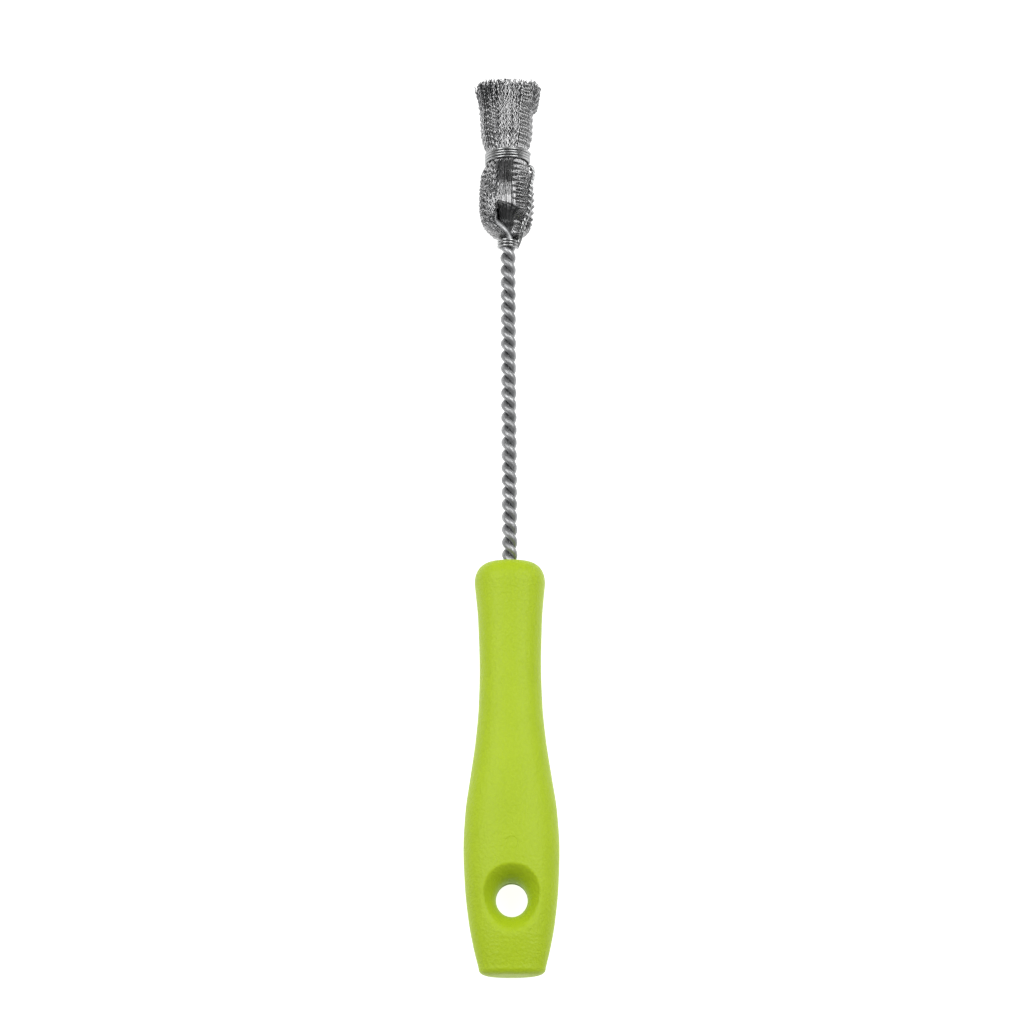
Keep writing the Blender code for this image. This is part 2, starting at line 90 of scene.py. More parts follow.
def through_points(knots: Sequence[float], values: Sequence[float], at: Array) -> Array:
    """Read a smooth curve through points, as cubics whose slopes never let it overshoot a value.

    Args:
        knots: Places of the points, rising.
        values: Heights of the points.
        at: Places to read.

    Returns:
        The curve's heights there.
    """
    knots = np.asarray(knots, dtype=float)
    values = np.asarray(values, dtype=float)
    steps = np.diff(values) / np.diff(knots)
    product = steps[:-1] * steps[1:]
    total = np.where(product > 0.0, steps[:-1] + steps[1:], 1.0)
    middle = np.where(product > 0.0, 2.0 * product / total, 0.0)
    slopes = np.concatenate([steps[:1], middle, steps[-1:]])
    index = np.clip(np.searchsorted(knots, at) - 1, 0, len(knots) - 2)
    span = knots[index + 1] - knots[index]
    t = np.clip((at - knots[index]) / span, 0.0, 1.0)
    start = (1.0 + 2.0 * t) * (1.0 - t) ** 2 * values[index]
    start_slope = t * (1.0 - t) ** 2 * span * slopes[index]
    end = t * t * (3.0 - 2.0 * t) * values[index + 1]
    end_slope = t * t * (t - 1.0) * span * slopes[index + 1]
    return start + start_slope + end + end_slope


def unit(vectors: Array) -> Array:
    """Vectors along the last axis, each at length 1."""
    return vectors / np.maximum(np.linalg.norm(vectors, axis=-1, keepdims=True), 1e-9)


def cubic_bridge(start: Array, start_slope: Array, end: Array, end_slope: Array, count: int) -> Array:
    """Points of the cubic that leaves one point and reaches another with given slopes.

    Args:
        start: First point, left out of the result.
        start_slope: Slope there, in millimetres for the whole way.
        end: Last point, left out of the result.
        end_slope: Slope there.
        count: How many points to give.

    Returns:
        The points between the two ends.
    """
    t = np.linspace(0.0, 1.0, count + 2)[1:-1, None]
    return (
        (1.0 + 2.0 * t) * (1.0 - t) ** 2 * start
        + t * (1.0 - t) ** 2 * start_slope
        + t * t * (3.0 - 2.0 * t) * end
        + t * t * (t - 1.0) * end_slope
    )


def grid_faces(rows: int, columns: int, wrap: bool, first: int = 0) -> Array:
    """Quads of a grid of points, facing outward when columns run anticlockwise about the rows' way.

    Args:
        rows: Points along the grid.
        columns: Points across it.
        wrap: Whether the last column joins the first.
        first: Index of the grid's first point.

    Returns:
        Four indices for each quad.
    """
    across = columns if wrap else columns - 1
    row = np.arange(rows - 1)[:, None] * columns
    here = np.arange(across)[None, :]
    after = (here + 1) % columns
    corners = [row + here, row + after, row + columns + after, row + columns + here]
    return np.stack(corners, axis=-1).reshape(-1, 4) + first


def add_piece(
    name: str,
    points: Array,
    faces: Sequence[Array],
    material: bpy.types.Material,
    uv: Array | None = None,
    tone: Array | None = None,
) -> bpy.types.Object:
    """Make a mesh of points and faces, dress it and let it ride on the brush.

    Args:
        name: Name of the object and its mesh.
        points: Points in millimetres, in the model's frame.
        faces: Arrays of faces, each with its own number of corners.
        material: Finish of the piece.
        uv: Two numbers for each point, kept as the piece's UV map.
        tone: One number for each point, kept as the attribute "tone".

    Returns:
        The finished object.
    """
    mesh = bpy.data.meshes.new(name)
    points = np.ascontiguousarray(points.reshape(-1, 3) * MM, dtype=np.float32)
    corners = np.concatenate([block.reshape(-1) for block in faces]).astype(np.int32)
    totals = np.concatenate([np.full(len(block), block.shape[1]) for block in faces])
    totals = totals.astype(np.int32)
    starts = np.concatenate([[0], np.cumsum(totals)[:-1]]).astype(np.int32)
    mesh.vertices.add(len(points))
    mesh.vertices.foreach_set("co", points.reshape(-1))
    mesh.loops.add(len(corners))
    mesh.loops.foreach_set("vertex_index", corners)
    mesh.polygons.add(len(totals))
    mesh.polygons.foreach_set("loop_start", starts)
    mesh.polygons.foreach_set("loop_total", totals)
    if uv is not None:
        layer = mesh.uv_layers.new(name="UVMap")
        layer.data.foreach_set("uv", uv.reshape(-1, 2)[corners].astype(np.float32).reshape(-1))
    if tone is not None:
        attribute = mesh.attributes.new("tone", "FLOAT", "POINT")
        attribute.data.foreach_set("value", tone.reshape(-1).astype(np.float32))
    mesh.update(calc_edges=True)
    mesh.validate()
    mesh.shade_smooth()
    mesh.materials.append(material)
    piece = bpy.data.objects.new(name, mesh)
    bpy.context.scene.collection.objects.link(piece)
    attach(piece, "root")
    return piece


def sweep(paths: Array, sideways: Array, radius: Array, sides: int) -> tuple[Array, list[Array], Array]:
    """Carry a round section along many paths at once, and close both ends of each.

    A point of the surface is the path's point, plus the radius times the cosine of its angle along the
    sideways direction and the sine along the direction square to that and to the path.

    Args:
        paths: Wires by stations by (x, y, z), in millimetres.
        sideways: A direction for each station that isn't along the path.
        radius: Radius for each wire and station, or one that broadcasts to them.
        sides: Corners of the section.

    Returns:
        The points, the faces, and for each point its angle share and its distance along, as a UV map.
    """
    wires, stations = paths.shape[:2]
    tangent = unit(np.gradient(paths, axis=1))
    normal = unit(sideways - np.sum(sideways * tangent, axis=-1, keepdims=True) * tangent)
    binormal = np.cross(tangent, normal)
    angle = np.linspace(0.0, TAU, sides, endpoint=False)[:, None]
    offset = np.cos(angle) * normal[:, :, None, :] + np.sin(angle) * binormal[:, :, None, :]
    radius = np.broadcast_to(radius, (wires, stations))[:, :, None, None]
    points = paths[:, :, None, :] + radius * offset

    size = stations * sides
    first = np.arange(wires)[:, None, None] * size
    quads = (grid_faces(stations, sides, wrap=True)[None] + first).reshape(-1, 4)
    ring = np.arange(sides)[None, :] + np.arange(wires)[:, None] * size
    step = np.linalg.norm(np.diff(paths, axis=1), axis=-1)
    along = np.concatenate([np.zeros((wires, 1)), np.cumsum(step, axis=1)], axis=1)
    around = np.broadcast_to(angle[None, None, :, 0] / TAU, (wires, stations, sides))
    uv = np.stack([around, np.broadcast_to(along[:, :, None], around.shape)], axis=-1)
    return points, [quads, ring[:, ::-1], ring + size - sides], uv


# ---------------------------------------------------------------- finishes


def linear(colour: str) -> tuple[float, float, float, float]:
    """Turn an sRGB hex colour such as #B3CC3D to the linear numbers that shaders take.

    Args:
        colour: Six hex digits after a hash.

    Returns:
        Red, green, blue and an alpha of 1.
    """
    parts = [int(colour[place:place + 2], 16) / 255.0 for place in (1, 3, 5)]
    turned = [part / 12.92 if part <= 0.04045 else ((part + 0.055) / 1.055) ** 2.4 for part in parts]
    return turned[0], turned[1], turned[2], 1.0


def add_node(
    tree: bpy.types.NodeTree,
    kind: str,
    settings: dict | None = None,
    links: dict | None = None,
) -> bpy.types.Node:
    """Add a node with its settings and links.

    Args:
        tree: Node tree that gets it.
        kind: Node type, such as ShaderNodeBump.
        settings: Properties by name, or input values by socket name or number.
        links: Output sockets by the name or number of the input that each goes to.

    Returns:
        The node.
    """
    node = tree.nodes.new(kind)
    for key, value in (settings or {}).items():
        if isinstance(key, str) and hasattr(node, key):
            setattr(node, key, value)
        else:
            node.inputs[key].default_value = value
    for key, source in (links or {}).items():
        tree.links.new(source, node.inputs[key])
    return node


def add_ramp(
    tree: bpy.types.NodeTree,
    source: bpy.types.NodeSocket,
    stops: Sequence[tuple],
) -> bpy.types.NodeSocket:
    """Turn a number into a colour by stops of (place, linear colour).

    Args:
        tree: Node tree that gets the ramp.
        source: The number.
        stops: Two or more stops, from low to high.

    Returns:
        The colour's socket.
    """
    ramp = add_node(tree, "ShaderNodeValToRGB", links={0: source})
    elements = ramp.color_ramp.elements
    while len(elements) < len(stops):
        elements.new(1.0)
    for element, (place, colour) in zip(elements, stops):
        element.position = place
        element.color = colour
    return ramp.outputs["Color"]


class Finish:
    """A finish that builds one node material and keeps it."""

    name: str

    def start(self) -> tuple[bpy.types.Material, bpy.types.NodeTree, bpy.types.Node]:
        """Make the empty material.

        Returns:
            The material, its node tree and its Principled BSDF.
        """
        material = bpy.data.materials.new(self.name)
        material.use_nodes = True
        tree = material.node_tree
        tree.nodes.clear()
        shader = add_node(tree, "ShaderNodeBsdfPrincipled")
        add_node(tree, "ShaderNodeOutputMaterial", links={"Surface": shader.outputs["BSDF"]})
        return material, tree, shader


@dataclass(frozen=True)
class GrainedPolypropylene(Finish):
    """Injection-moulded polypropylene with a fine leather grain etched into the mould.

    The grain scatters the light, so the lime colour looks even and matt, and shows as fine wrinkles
    where the surface turns from the light. A round witness mark of the ejector shows on the front.
    """

    name: str = "grained_polypropylene"
    colour: str = "#A9C21C"
    shade: str = "#9CB512"
    roughness: float = 0.45
    grain_mm: float = 0.85          # width of one wrinkle of the grain
    grain_depth_mm: float = 0.13
    grain_swirl: float = 1.3        # how far the wrinkles are pulled about, in wrinkle widths
    orange_peel_mm: float = 0.22    # finer texture inside the wrinkles
    orange_peel_share: float = 0.35     # its height, as a share of the wrinkles'
    flow_mm: float = 14.0           # size of the faint clouds that the melt leaves in the colour
    witness_at_mm: tuple[float, float] = (0.0, -105.0)
    witness_radius_mm: float = 2.1
    witness_edge_mm: float = 0.25
    witness_depth_mm: float = 0.10

    def build(self) -> bpy.types.Material:
        """Build the material on Object coordinates, in millimetres.

        Returns:
            The material.
        """
        material, tree, shader = self.start()
        place = add_node(tree, "ShaderNodeTexCoord").outputs["Object"]
        millimetres = add_node(
            tree, "ShaderNodeMapping", {"Scale": (1.0 / MM,) * 3}, {"Vector": place}
        ).outputs["Vector"]
        wrinkles = self.wrinkles(tree, millimetres)
        peel = add_node(
            tree, "ShaderNodeTexNoise", {"Scale": 1.0 / self.orange_peel_mm, "Detail": 2.0},
            {"Vector": millimetres},
        ).outputs["Fac"]
        height = add_node(
            tree, "ShaderNodeMath", {"operation": "MULTIPLY_ADD", 1: self.orange_peel_share},
            {0: peel, 2: wrinkles},
        ).outputs[0]
        grain = add_node(
            tree, "ShaderNodeBump", {"Strength": 1.0, "Distance": self.grain_depth_mm * MM},
            {"Height": height},
        )
        mark = add_node(
            tree, "ShaderNodeBump", {"Strength": 1.0, "Distance": self.witness_depth_mm * MM},
            {"Height": self.witness_mark(tree, millimetres), "Normal": grain.outputs["Normal"]},
        )
        tree.links.new(mark.outputs["Normal"], shader.inputs["Normal"])
        tree.links.new(self.tint(tree, millimetres, wrinkles), shader.inputs["Base Color"])

        rough = add_node(
            tree, "ShaderNodeMapRange",
            {"From Min": 0.3, "From Max": 0.7,
             "To Min": self.roughness - 0.06, "To Max": self.roughness + 0.06},
            {"Value": peel},
        ).outputs[0]
        tree.links.new(rough, shader.inputs["Roughness"])
        shader.inputs["IOR"].default_value = 1.49
        shader.inputs["Specular IOR Level"].default_value = 0.3
        shader.inputs["Subsurface Weight"].default_value = 0.06
        shader.inputs["Subsurface Radius"].default_value = (0.9 * MM, 1.0 * MM, 0.35 * MM)
        shader.inputs["Subsurface Scale"].default_value = 1.0
        return material

    def wrinkles(
        self,
        tree: bpy.types.NodeTree,
        millimetres: bpy.types.NodeSocket,
    ) -> bpy.types.NodeSocket:
        """Height of the leather grain: rounded cells, pulled about by a slow noise.

        Args:
            tree: Node tree of the material.
            millimetres: Place on the handle.

        Returns:
            The height's socket, from 0 in a cell's middle.
        """
        warp = add_node(
            tree, "ShaderNodeTexNoise", {"Scale": 0.9 / self.grain_mm, "Detail": 2.0},
            {"Vector": millimetres},
        )
        swirl = add_node(
            tree, "ShaderNodeVectorMath",
            {"operation": "SCALE", "Scale": self.grain_swirl * self.grain_mm},
            {0: warp.outputs["Color"]},
        )
        warped = add_node(
            tree, "ShaderNodeVectorMath", {"operation": "ADD"},
            {0: millimetres, 1: swirl.outputs["Vector"]},
        ).outputs["Vector"]
        return add_node(
            tree, "ShaderNodeTexVoronoi",
            {"feature": "SMOOTH_F1", "Scale": 1.0 / self.grain_mm, "Smoothness": 0.6},
            {"Vector": warped},
        ).outputs["Distance"]

    def witness_mark(
        self,
        tree: bpy.types.NodeTree,
        millimetres: bpy.types.NodeSocket,
    ) -> bpy.types.NodeSocket:
        """Height of the ejector's mark: 0 inside its circle and 1 outside, with a soft edge.

        Args:
            tree: Node tree of the material.
            millimetres: Place on the handle.

        Returns:
            The height's socket.
        """
        split = add_node(tree, "ShaderNodeSeparateXYZ", links={0: millimetres})
        away = {}
        for axis, middle in zip("XY", self.witness_at_mm):
            away[axis] = add_node(
                tree, "ShaderNodeMath", {"operation": "SUBTRACT", 1: middle}, {0: split.outputs[axis]}
            ).outputs[0]
        flat = add_node(tree, "ShaderNodeCombineXYZ", links=away).outputs[0]
        distance = add_node(
            tree, "ShaderNodeVectorMath", {"operation": "LENGTH"}, {0: flat}
        ).outputs["Value"]
        return add_node(
            tree, "ShaderNodeMapRange",
            {"interpolation_type": "SMOOTHSTEP",
             "From Min": self.witness_radius_mm - self.witness_edge_mm,
             "From Max": self.witness_radius_mm},
            {"Value": distance},
        ).outputs[0]

    def tint(
        self,
        tree: bpy.types.NodeTree,
        millimetres: bpy.types.NodeSocket,
        wrinkles: bpy.types.NodeSocket,
    ) -> bpy.types.NodeSocket:
        """Colour of the plastic: a little deeper in the grain's valleys and in faint clouds.

        Args:
            tree: Node tree of the material.
            millimetres: Place on the handle.
            wrinkles: Height of the grain.

        Returns:
            The colour's socket.
        """
        flow = add_node(
            tree, "ShaderNodeTexNoise", {"Scale": 1.0 / self.flow_mm, "Detail": 3.0},
            {"Vector": millimetres},
        ).outputs["Fac"]
        mixed = add_node(
            tree, "ShaderNodeMath", {"operation": "MULTIPLY_ADD", 1: 0.5, 2: 0.1}, {0: wrinkles}
        ).outputs[0]
        amount = add_node(
            tree, "ShaderNodeMath", {"operation": "MULTIPLY"}, {0: flow, 1: mixed}
        ).outputs[0]
        return add_ramp(tree, amount, ((0.05, linear(self.colour)), (0.5, linear(self.shade))))


@dataclass(frozen=True)
class DrawnWire(Finish):
    """Steel wire pulled through a die, which leaves fine lines along it and a soft, stretched shine."""

    name: str = "drawn_wire"
    bright: str = "#AFB0B1"
    dull: str = "#8C8D8E"
    roughness: float = 0.48
    lines_around: float = 26.0      # die lines round the wire
    line_length_mm: float = 6.0
    line_depth_mm: float = 0.012
    patch_mm: float = 3.0           # size of the duller patches

    def build(self) -> bpy.types.Material:
        """Build the material: die lines on the UV map, dull patches on Object coordinates.

        Returns:
            The material.
        """
        material, tree, shader = self.start()
        coordinates = add_node(tree, "ShaderNodeTexCoord")
        stretched = add_node(
            tree, "ShaderNodeMapping",
            {"Scale": (self.lines_around, 1.0 / self.line_length_mm, 1.0)},
            {"Vector": coordinates.outputs["UV"]},
        ).outputs["Vector"]
        lines = add_node(
            tree, "ShaderNodeTexNoise", {"Scale": 1.0, "Detail": 4.0, "Roughness": 0.6},
            {"Vector": stretched},
        ).outputs["Fac"]
        patches = add_node(
            tree, "ShaderNodeTexNoise",
            {"Scale": 1.0 / (self.patch_mm * MM), "Detail": 5.0, "Roughness": 0.6},
            {"Vector": coordinates.outputs["Object"]},
        ).outputs["Fac"]
        both = add_node(
            tree, "ShaderNodeMath", {"operation": "MULTIPLY_ADD", 1: 0.5}, {0: lines, 2: patches}
        ).outputs[0]
        colour = add_ramp(tree, both, ((0.55, linear(self.bright)), (0.95, linear(self.dull))))
        tree.links.new(colour, shader.inputs["Base Color"])
        rough = add_node(
            tree, "ShaderNodeMapRange",
            {"From Min": 0.4, "From Max": 1.1,
             "To Min": self.roughness - 0.07, "To Max": self.roughness + 0.12},
            {"Value": both},
        ).outputs[0]
        tree.links.new(rough, shader.inputs["Roughness"])
        bump = add_node(
            tree, "ShaderNodeBump", {"Strength": 0.8, "Distance": self.line_depth_mm * MM},
            {"Height": lines},
        )
        tree.links.new(bump.outputs["Normal"], shader.inputs["Normal"])
        shader.inputs["Metallic"].default_value = 1.0
        return material


@dataclass(frozen=True)
class CrimpedBristleWire(Finish):
    """Fine hard-drawn steel wire, crimped between toothed rollers.

    Each wire has its own tone, since some are bright from the die and some are dulled by handling, and
    the rollers leave short scuffs on it. Wires deep in the hank and in the hollow beside the eye's front
    leg are darkened further by the tone, as painted shade.
    """

    name: str = "crimped_bristle_wire"
    bright: str = "#B6B6B6"
    middle: str = "#959596"
    # dull: worn wires, and also the painted shade on wires deep in the hank and in the hollow
    dull: str = "#505152"
    roughness: float = 0.25
    scuff_mm: float = 0.8           # length of a scuff along the wire
    scuffs_around: float = 3.0
    tone_shift: float = 90.0        # how far a wire's tone moves its scuffs from its neighbours'

    def build(self) -> bpy.types.Material:
        """Build the material: tone from the attribute, scuffs on the UV map.

        Returns:
            The material.
        """
        material, tree, shader = self.start()
        tone = add_node(tree, "ShaderNodeAttribute", {"attribute_name": "tone"}).outputs["Fac"]
        coordinates = add_node(tree, "ShaderNodeTexCoord").outputs["UV"]
        stretched = add_node(
            tree, "ShaderNodeMapping", {"Scale": (self.scuffs_around, 1.0 / self.scuff_mm, 1.0)},
            {"Vector": coordinates},
        ).outputs["Vector"]
        moved = add_node(tree, "ShaderNodeCombineXYZ", links={"Z": tone}).outputs[0]
        apart = add_node(
            tree, "ShaderNodeVectorMath", {"operation": "MULTIPLY_ADD", 1: (self.tone_shift,) * 3},
            {0: moved, 2: stretched},
        ).outputs["Vector"]
        scuffs = add_node(
            tree, "ShaderNodeTexNoise", {"Scale": 1.0, "Detail": 2.0}, {"Vector": apart}
        ).outputs["Fac"]
        both = add_node(
            tree, "ShaderNodeMath", {"operation": "MULTIPLY_ADD", 1: 0.45}, {0: scuffs, 2: tone}
        ).outputs[0]
        # A high tone, from handling and from painted shade, turns a wire toward the middle and dull
        # colours.
        stops = ((0.2, linear(self.bright)), (0.65, linear(self.middle)), (1.2, linear(self.dull)))
        tree.links.new(add_ramp(tree, both, stops), shader.inputs["Base Color"])
        rough = add_node(
            tree, "ShaderNodeMapRange",
            {"From Min": 0.2, "From Max": 1.2,
             "To Min": self.roughness - 0.06, "To Max": self.roughness + 0.14},
            {"Value": both},
        ).outputs[0]
        tree.links.new(rough, shader.inputs["Roughness"])
        shader.inputs["Metallic"].default_value = 1.0
        return material


# ---------------------------------------------------------------- places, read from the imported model


@dataclass(frozen=True)
class Layout:
    """Where the parts lie, in millimetres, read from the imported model's boxes."""

    butt_y: float
    nose_y: float
    half_width: float
    half_thickness: float
    axis_z: float
    tip_y: float

    @classmethod
    def from_frame(cls) -> "Layout":
        """Read the handle's box and the whole model's box.

        Returns:
            The layout.
        """
        low, high = (np.array(corner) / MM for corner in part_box("handle"))
        top = np.array(CAD_BOUNDS[1]) / MM
        return cls(
            butt_y=float(low[1]),
            nose_y=float(high[1]),
            half_width=float(high[0] - low[0]) / 2.0,
            half_thickness=float(high[2] - low[2]) / 2.0,
            axis_z=float(high[2] + low[2]) / 2.0,
            tip_y=float(top[1]),
        )


# ---------------------------------------------------------------- handle


@dataclass
class Handle:
    """The moulded handle, with its flared hanging hole and the mouth of the shaft's socket."""

    layout: Layout
    squareness: float = 2.25
    butt_flat: tuple[float, float] = (6.0, 3.0)
    butt_rounding: float = 2.4
    butt_squareness: float = 2.6
    nose_flat: float = 5.4
    nose_rounding: float = 6.5
    nose_squareness: float = 2.3
    mouth_radius: float = 2.85
    mouth_depth: float = 7.0
    mouth_lip: float = 0.45         # rounding round the mouth
    hole_from_butt: float = 23.6
    hole_half: tuple[float, float] = (4.9, 5.3)
    hole_flare: tuple[float, float, float] = (3.5, 5.5, 6.8)    # to the shaft, sideways, to the butt
    hole_flare_depth: float = 8.7
    throat_land: float = 0.6        # half height of the straight wall in the throat
    rim_rounding: tuple[float, float] = (0.45, 1.7)     # at the shaft side and at the butt side
    around: int = 192
    window_columns: int = 29        # half width of the grid window that the funnel's mesh fills
    window_reach: tuple[float, float] = (14.2, 14.6)    # toward the butt and toward the shaft
    ring_crowding: float = 1.7      # how much closer the funnel's rings lie at the throat
    outline: tuple[tuple[float, float, float], ...] = (
        (0.018, 0.695, 0.560),
        (0.071, 0.805, 0.700),
        (0.129, 0.896, 0.815),
        (0.215, 0.973, 0.935),
        (0.302, 1.000, 0.993),
        (0.389, 0.960, 1.000),
        (0.477, 0.850, 0.955),
        (0.565, 0.738, 0.895),
        (0.653, 0.668, 0.855),
        (0.740, 0.646, 0.840),
        (0.860, 0.674, 0.870),
        (0.950, 0.743, 0.950),
    )

    @property
    def length(self) -> float:
        """Length of the handle."""
        return self.layout.nose_y - self.layout.butt_y

    @property
    def power(self) -> float:
        """Power of the sine and cosine that gives a section its squareness."""
        return 2.0 / self.squareness

    def half_sizes(self, distance: Array) -> tuple[Array, Array]:
        """Half width and half thickness, from the outline and the two end roundings.

        Args:
            distance: Distances from the butt.

        Returns:
            Half widths and half thicknesses.
        """
        share, width, thickness = np.array(self.outline).T
        at = distance / self.length
        half_width = through_points(share, width, at) * self.layout.half_width
        half_thickness = through_points(share, thickness, at) * self.layout.half_thickness
        butt = np.clip(1.0 - distance / self.butt_rounding, 0.0, 1.0)
        rise = np.sqrt(1.0 - butt**self.butt_squareness)
        half_width = self.butt_flat[0] + (half_width - self.butt_flat[0]) * rise
        half_thickness = self.butt_flat[1] + (half_thickness - self.butt_flat[1]) * rise
        nose = np.clip(1.0 - (self.length - distance) / self.nose_rounding, 0.0, 1.0)
        rise = (1.0 - nose**self.nose_squareness) ** (1.0 / self.nose_squareness)
        half_width = self.nose_flat + (half_width - self.nose_flat) * rise
        half_thickness = self.nose_flat + (half_thickness - self.nose_flat) * rise
        return half_width, half_thickness

    def stations(self) -> Array:
        """Distances from the butt of the grid's rows, close together at the roundings.

        Returns:
            The distances, rising.
        """
        quarter = math.pi / 2.0
        butt = self.butt_rounding * (1.0 - np.cos(np.linspace(0.0, quarter, 14)))
        nose = self.length - self.nose_rounding * (1.0 - np.cos(np.linspace(quarter, 0.0, 22)))
        between = np.linspace(self.butt_rounding, self.length - self.nose_rounding, 232)[1:-1]
        return np.concatenate([butt, between, nose])

    def oval_rings(self, half_width: Array, half_height: Array, y: Array, power: Array) -> Array:
        """Rings round the axis, each a superellipse.

        A point lies at the half sizes times the cosine and the sine of its angle, each raised to the
        power and keeping its sign.

        Args:
            half_width: Half width of each ring.
            half_height: Half height of each ring.
            y: Place of each ring.
            power: Power of each ring, 1 for an ellipse and less for a squarer section.

        Returns:
            Rings by points by (x, y, z).
        """
        angle = np.linspace(0.0, TAU, self.around, endpoint=False)[None, :]
        power = power[:, None]
        across = half_width[:, None] * np.sign(np.cos(angle)) * np.abs(np.cos(angle)) ** power
        up = half_height[:, None] * np.sign(np.sin(angle)) * np.abs(np.sin(angle)) ** power
        along = np.broadcast_to(y[:, None], across.shape)
        return np.stack([across, along, self.layout.axis_z + up], axis=-1)

    def body_rings(self, distance: Array) -> Array:
        """Rings of the body, from the outline's half sizes.

        Args:
            distance: Distances from the butt.

        Returns:
            Rows by points by (x, y, z).
        """
        half_width, half_thickness = self.half_sizes(distance)
        power = np.full(len(distance), self.power)
        return self.oval_rings(half_width, half_thickness, self.layout.butt_y + distance, power)

    def end_rings(self) -> tuple[Array, Array]:
        """Rings that close the butt, and that turn into the socket's mouth and close it.

        Returns:
            The rings before the body's and the rings after it.
        """
        pinhole = 0.02
        shrink = np.array([pinhole, 0.35, 0.7, 0.93])
        butt = self.oval_rings(
            self.butt_flat[0] * shrink, self.butt_flat[1] * shrink,
            np.full(len(shrink), self.layout.butt_y), np.full(len(shrink), self.power),
        )
        turn = np.linspace(0.0, math.pi / 2.0, 6)
        radius = np.concatenate([
            [self.nose_flat - 0.35],
            self.mouth_radius + self.mouth_lip * (1.0 - np.sin(turn)),
            np.full(3, self.mouth_radius),
            [pinhole],
        ])
        depth = np.concatenate([
            [0.0],
            self.mouth_lip * (1.0 - np.cos(turn)),
            [1.2, self.mouth_depth - 0.3, self.mouth_depth],
            [self.mouth_depth],
        ])
        power = np.concatenate([[0.5 * (self.power + 1.0)], np.ones(len(radius) - 1)])
        nose = self.oval_rings(radius, radius, self.layout.nose_y - depth, power)
        return butt, nose

    def face_height(self, x: Array, distance: Array) -> Array:
        """Height of the body's face above the axis, over a place on it.

        Args:
            x: Distance sideways from the axis.
            distance: Distance from the butt.

        Returns:
            The height, from the superellipse of the section there.
        """
        half_width, half_thickness = self.half_sizes(distance)
        share = np.clip(np.abs(x) / half_width, 0.0, 1.0)
        return half_thickness * (1.0 - share**self.squareness) ** (1.0 / self.squareness)

    def funnel_patch(self, border: Array, side: float, rings: int = 56) -> Array:
        """Surface from the window's border down into the throat.

        The height is the lower of the body's face and the flare, whose depth goes with the square root
        of the distance from the throat, blended smoothly over the rim's rounding.

        Args:
            border: The border's points, in order round the hole.
            side: 1 on the front and -1 on the back.
            rings: Rings of points to make inside the border.

        Returns:
            Rings by points by (x, y, z), from the border inward to the throat.
        """
        centre_y = self.layout.butt_y + self.hole_from_butt
        x = border[:, 0]
        y = border[:, 1] - centre_y
        bearing = np.arctan2(y, x)
        across = np.cos(bearing) / self.hole_half[0]
        lengthways = np.sin(bearing) / self.hole_half[1]
        throat = 1.0 / np.sqrt(across**2 + lengthways**2)
        share = np.linspace(1.0, 0.0, rings + 1)[1:, None] ** self.ring_crowding
        reach = np.hypot(x, y)
        radius = throat + (reach - throat) * share
        at_x = radius * np.cos(bearing)
        at_y = radius * np.sin(bearing)
        up, sideways, down = self.hole_flare
        toward = np.sin(bearing)
        flare_here = sideways + np.where(toward > 0.0, up - sideways, down - sideways) * toward**2
        flare = self.throat_land + (self.hole_flare_depth - self.throat_land) * np.sqrt(
            np.clip(radius - throat, 0.0, None) / flare_here
        )
        face = self.face_height(at_x, at_y + self.hole_from_butt)
        shaft_side = smooth_step(1.4 * (0.5 + 0.5 * toward))
        at_shaft, at_butt = self.rim_rounding
        rounding = at_butt + (at_shaft - at_butt) * shaft_side
        near = np.clip(rounding - np.abs(face - flare), 0.0, None) / rounding
        height = np.minimum(face, flare) - near**2 * rounding / 4.0
        return np.stack([at_x, centre_y + at_y, self.layout.axis_z + side * height], axis=-1)

    def build(self, material: bpy.types.Material) -> bpy.types.Object:
        """Mesh the body as one grid, with a window on each face that the funnel's rings fill.

        Args:
            material: Finish of the handle.

        Returns:
            The handle.
        """
        distance = self.stations()
        butt, nose = self.end_rings()
        rings = np.concatenate([butt, self.body_rings(distance), nose])
        rows, columns = rings.shape[:2]
        index = np.arange(rows * columns).reshape(rows, columns)
        centre = len(butt) + int(np.argmin(np.abs(distance - self.hole_from_butt)))
        first = len(butt) + int(np.argmin(np.abs(distance - self.hole_from_butt + self.window_reach[0])))
        last = len(butt) + int(np.argmin(np.abs(distance - self.hole_from_butt - self.window_reach[1])))
        assert first < centre < last

        keep = np.ones((rows - 1, columns), dtype=bool)
        points = [rings.reshape(-1, 3)]
        faces = []
        count = rows * columns
        throats = []
        for side, middle in ((1.0, columns // 4), (-1.0, 3 * columns // 4)):
            low = middle - self.window_columns
            high = middle + self.window_columns
            keep[first:last, low:high] = False
            loop = np.concatenate([
                index[first, low:high], index[first:last, high],
                index[last, high:low:-1], index[last:first:-1, low],
            ])
            patch = self.funnel_patch(rings.reshape(-1, 3)[loop], side)
            inner = np.arange(patch.shape[0] * patch.shape[1]).reshape(patch.shape[:2]) + count
            points.append(patch.reshape(-1, 3))
            count += inner.size
            net = np.concatenate([loop[None, :], inner])
            after = np.roll(net, -1, axis=1)
            quads = np.stack([net[:-1], after[:-1], after[1:], net[1:]], axis=-1).reshape(-1, 4)
            faces.append(quads)
            throats.append(inner[-1])

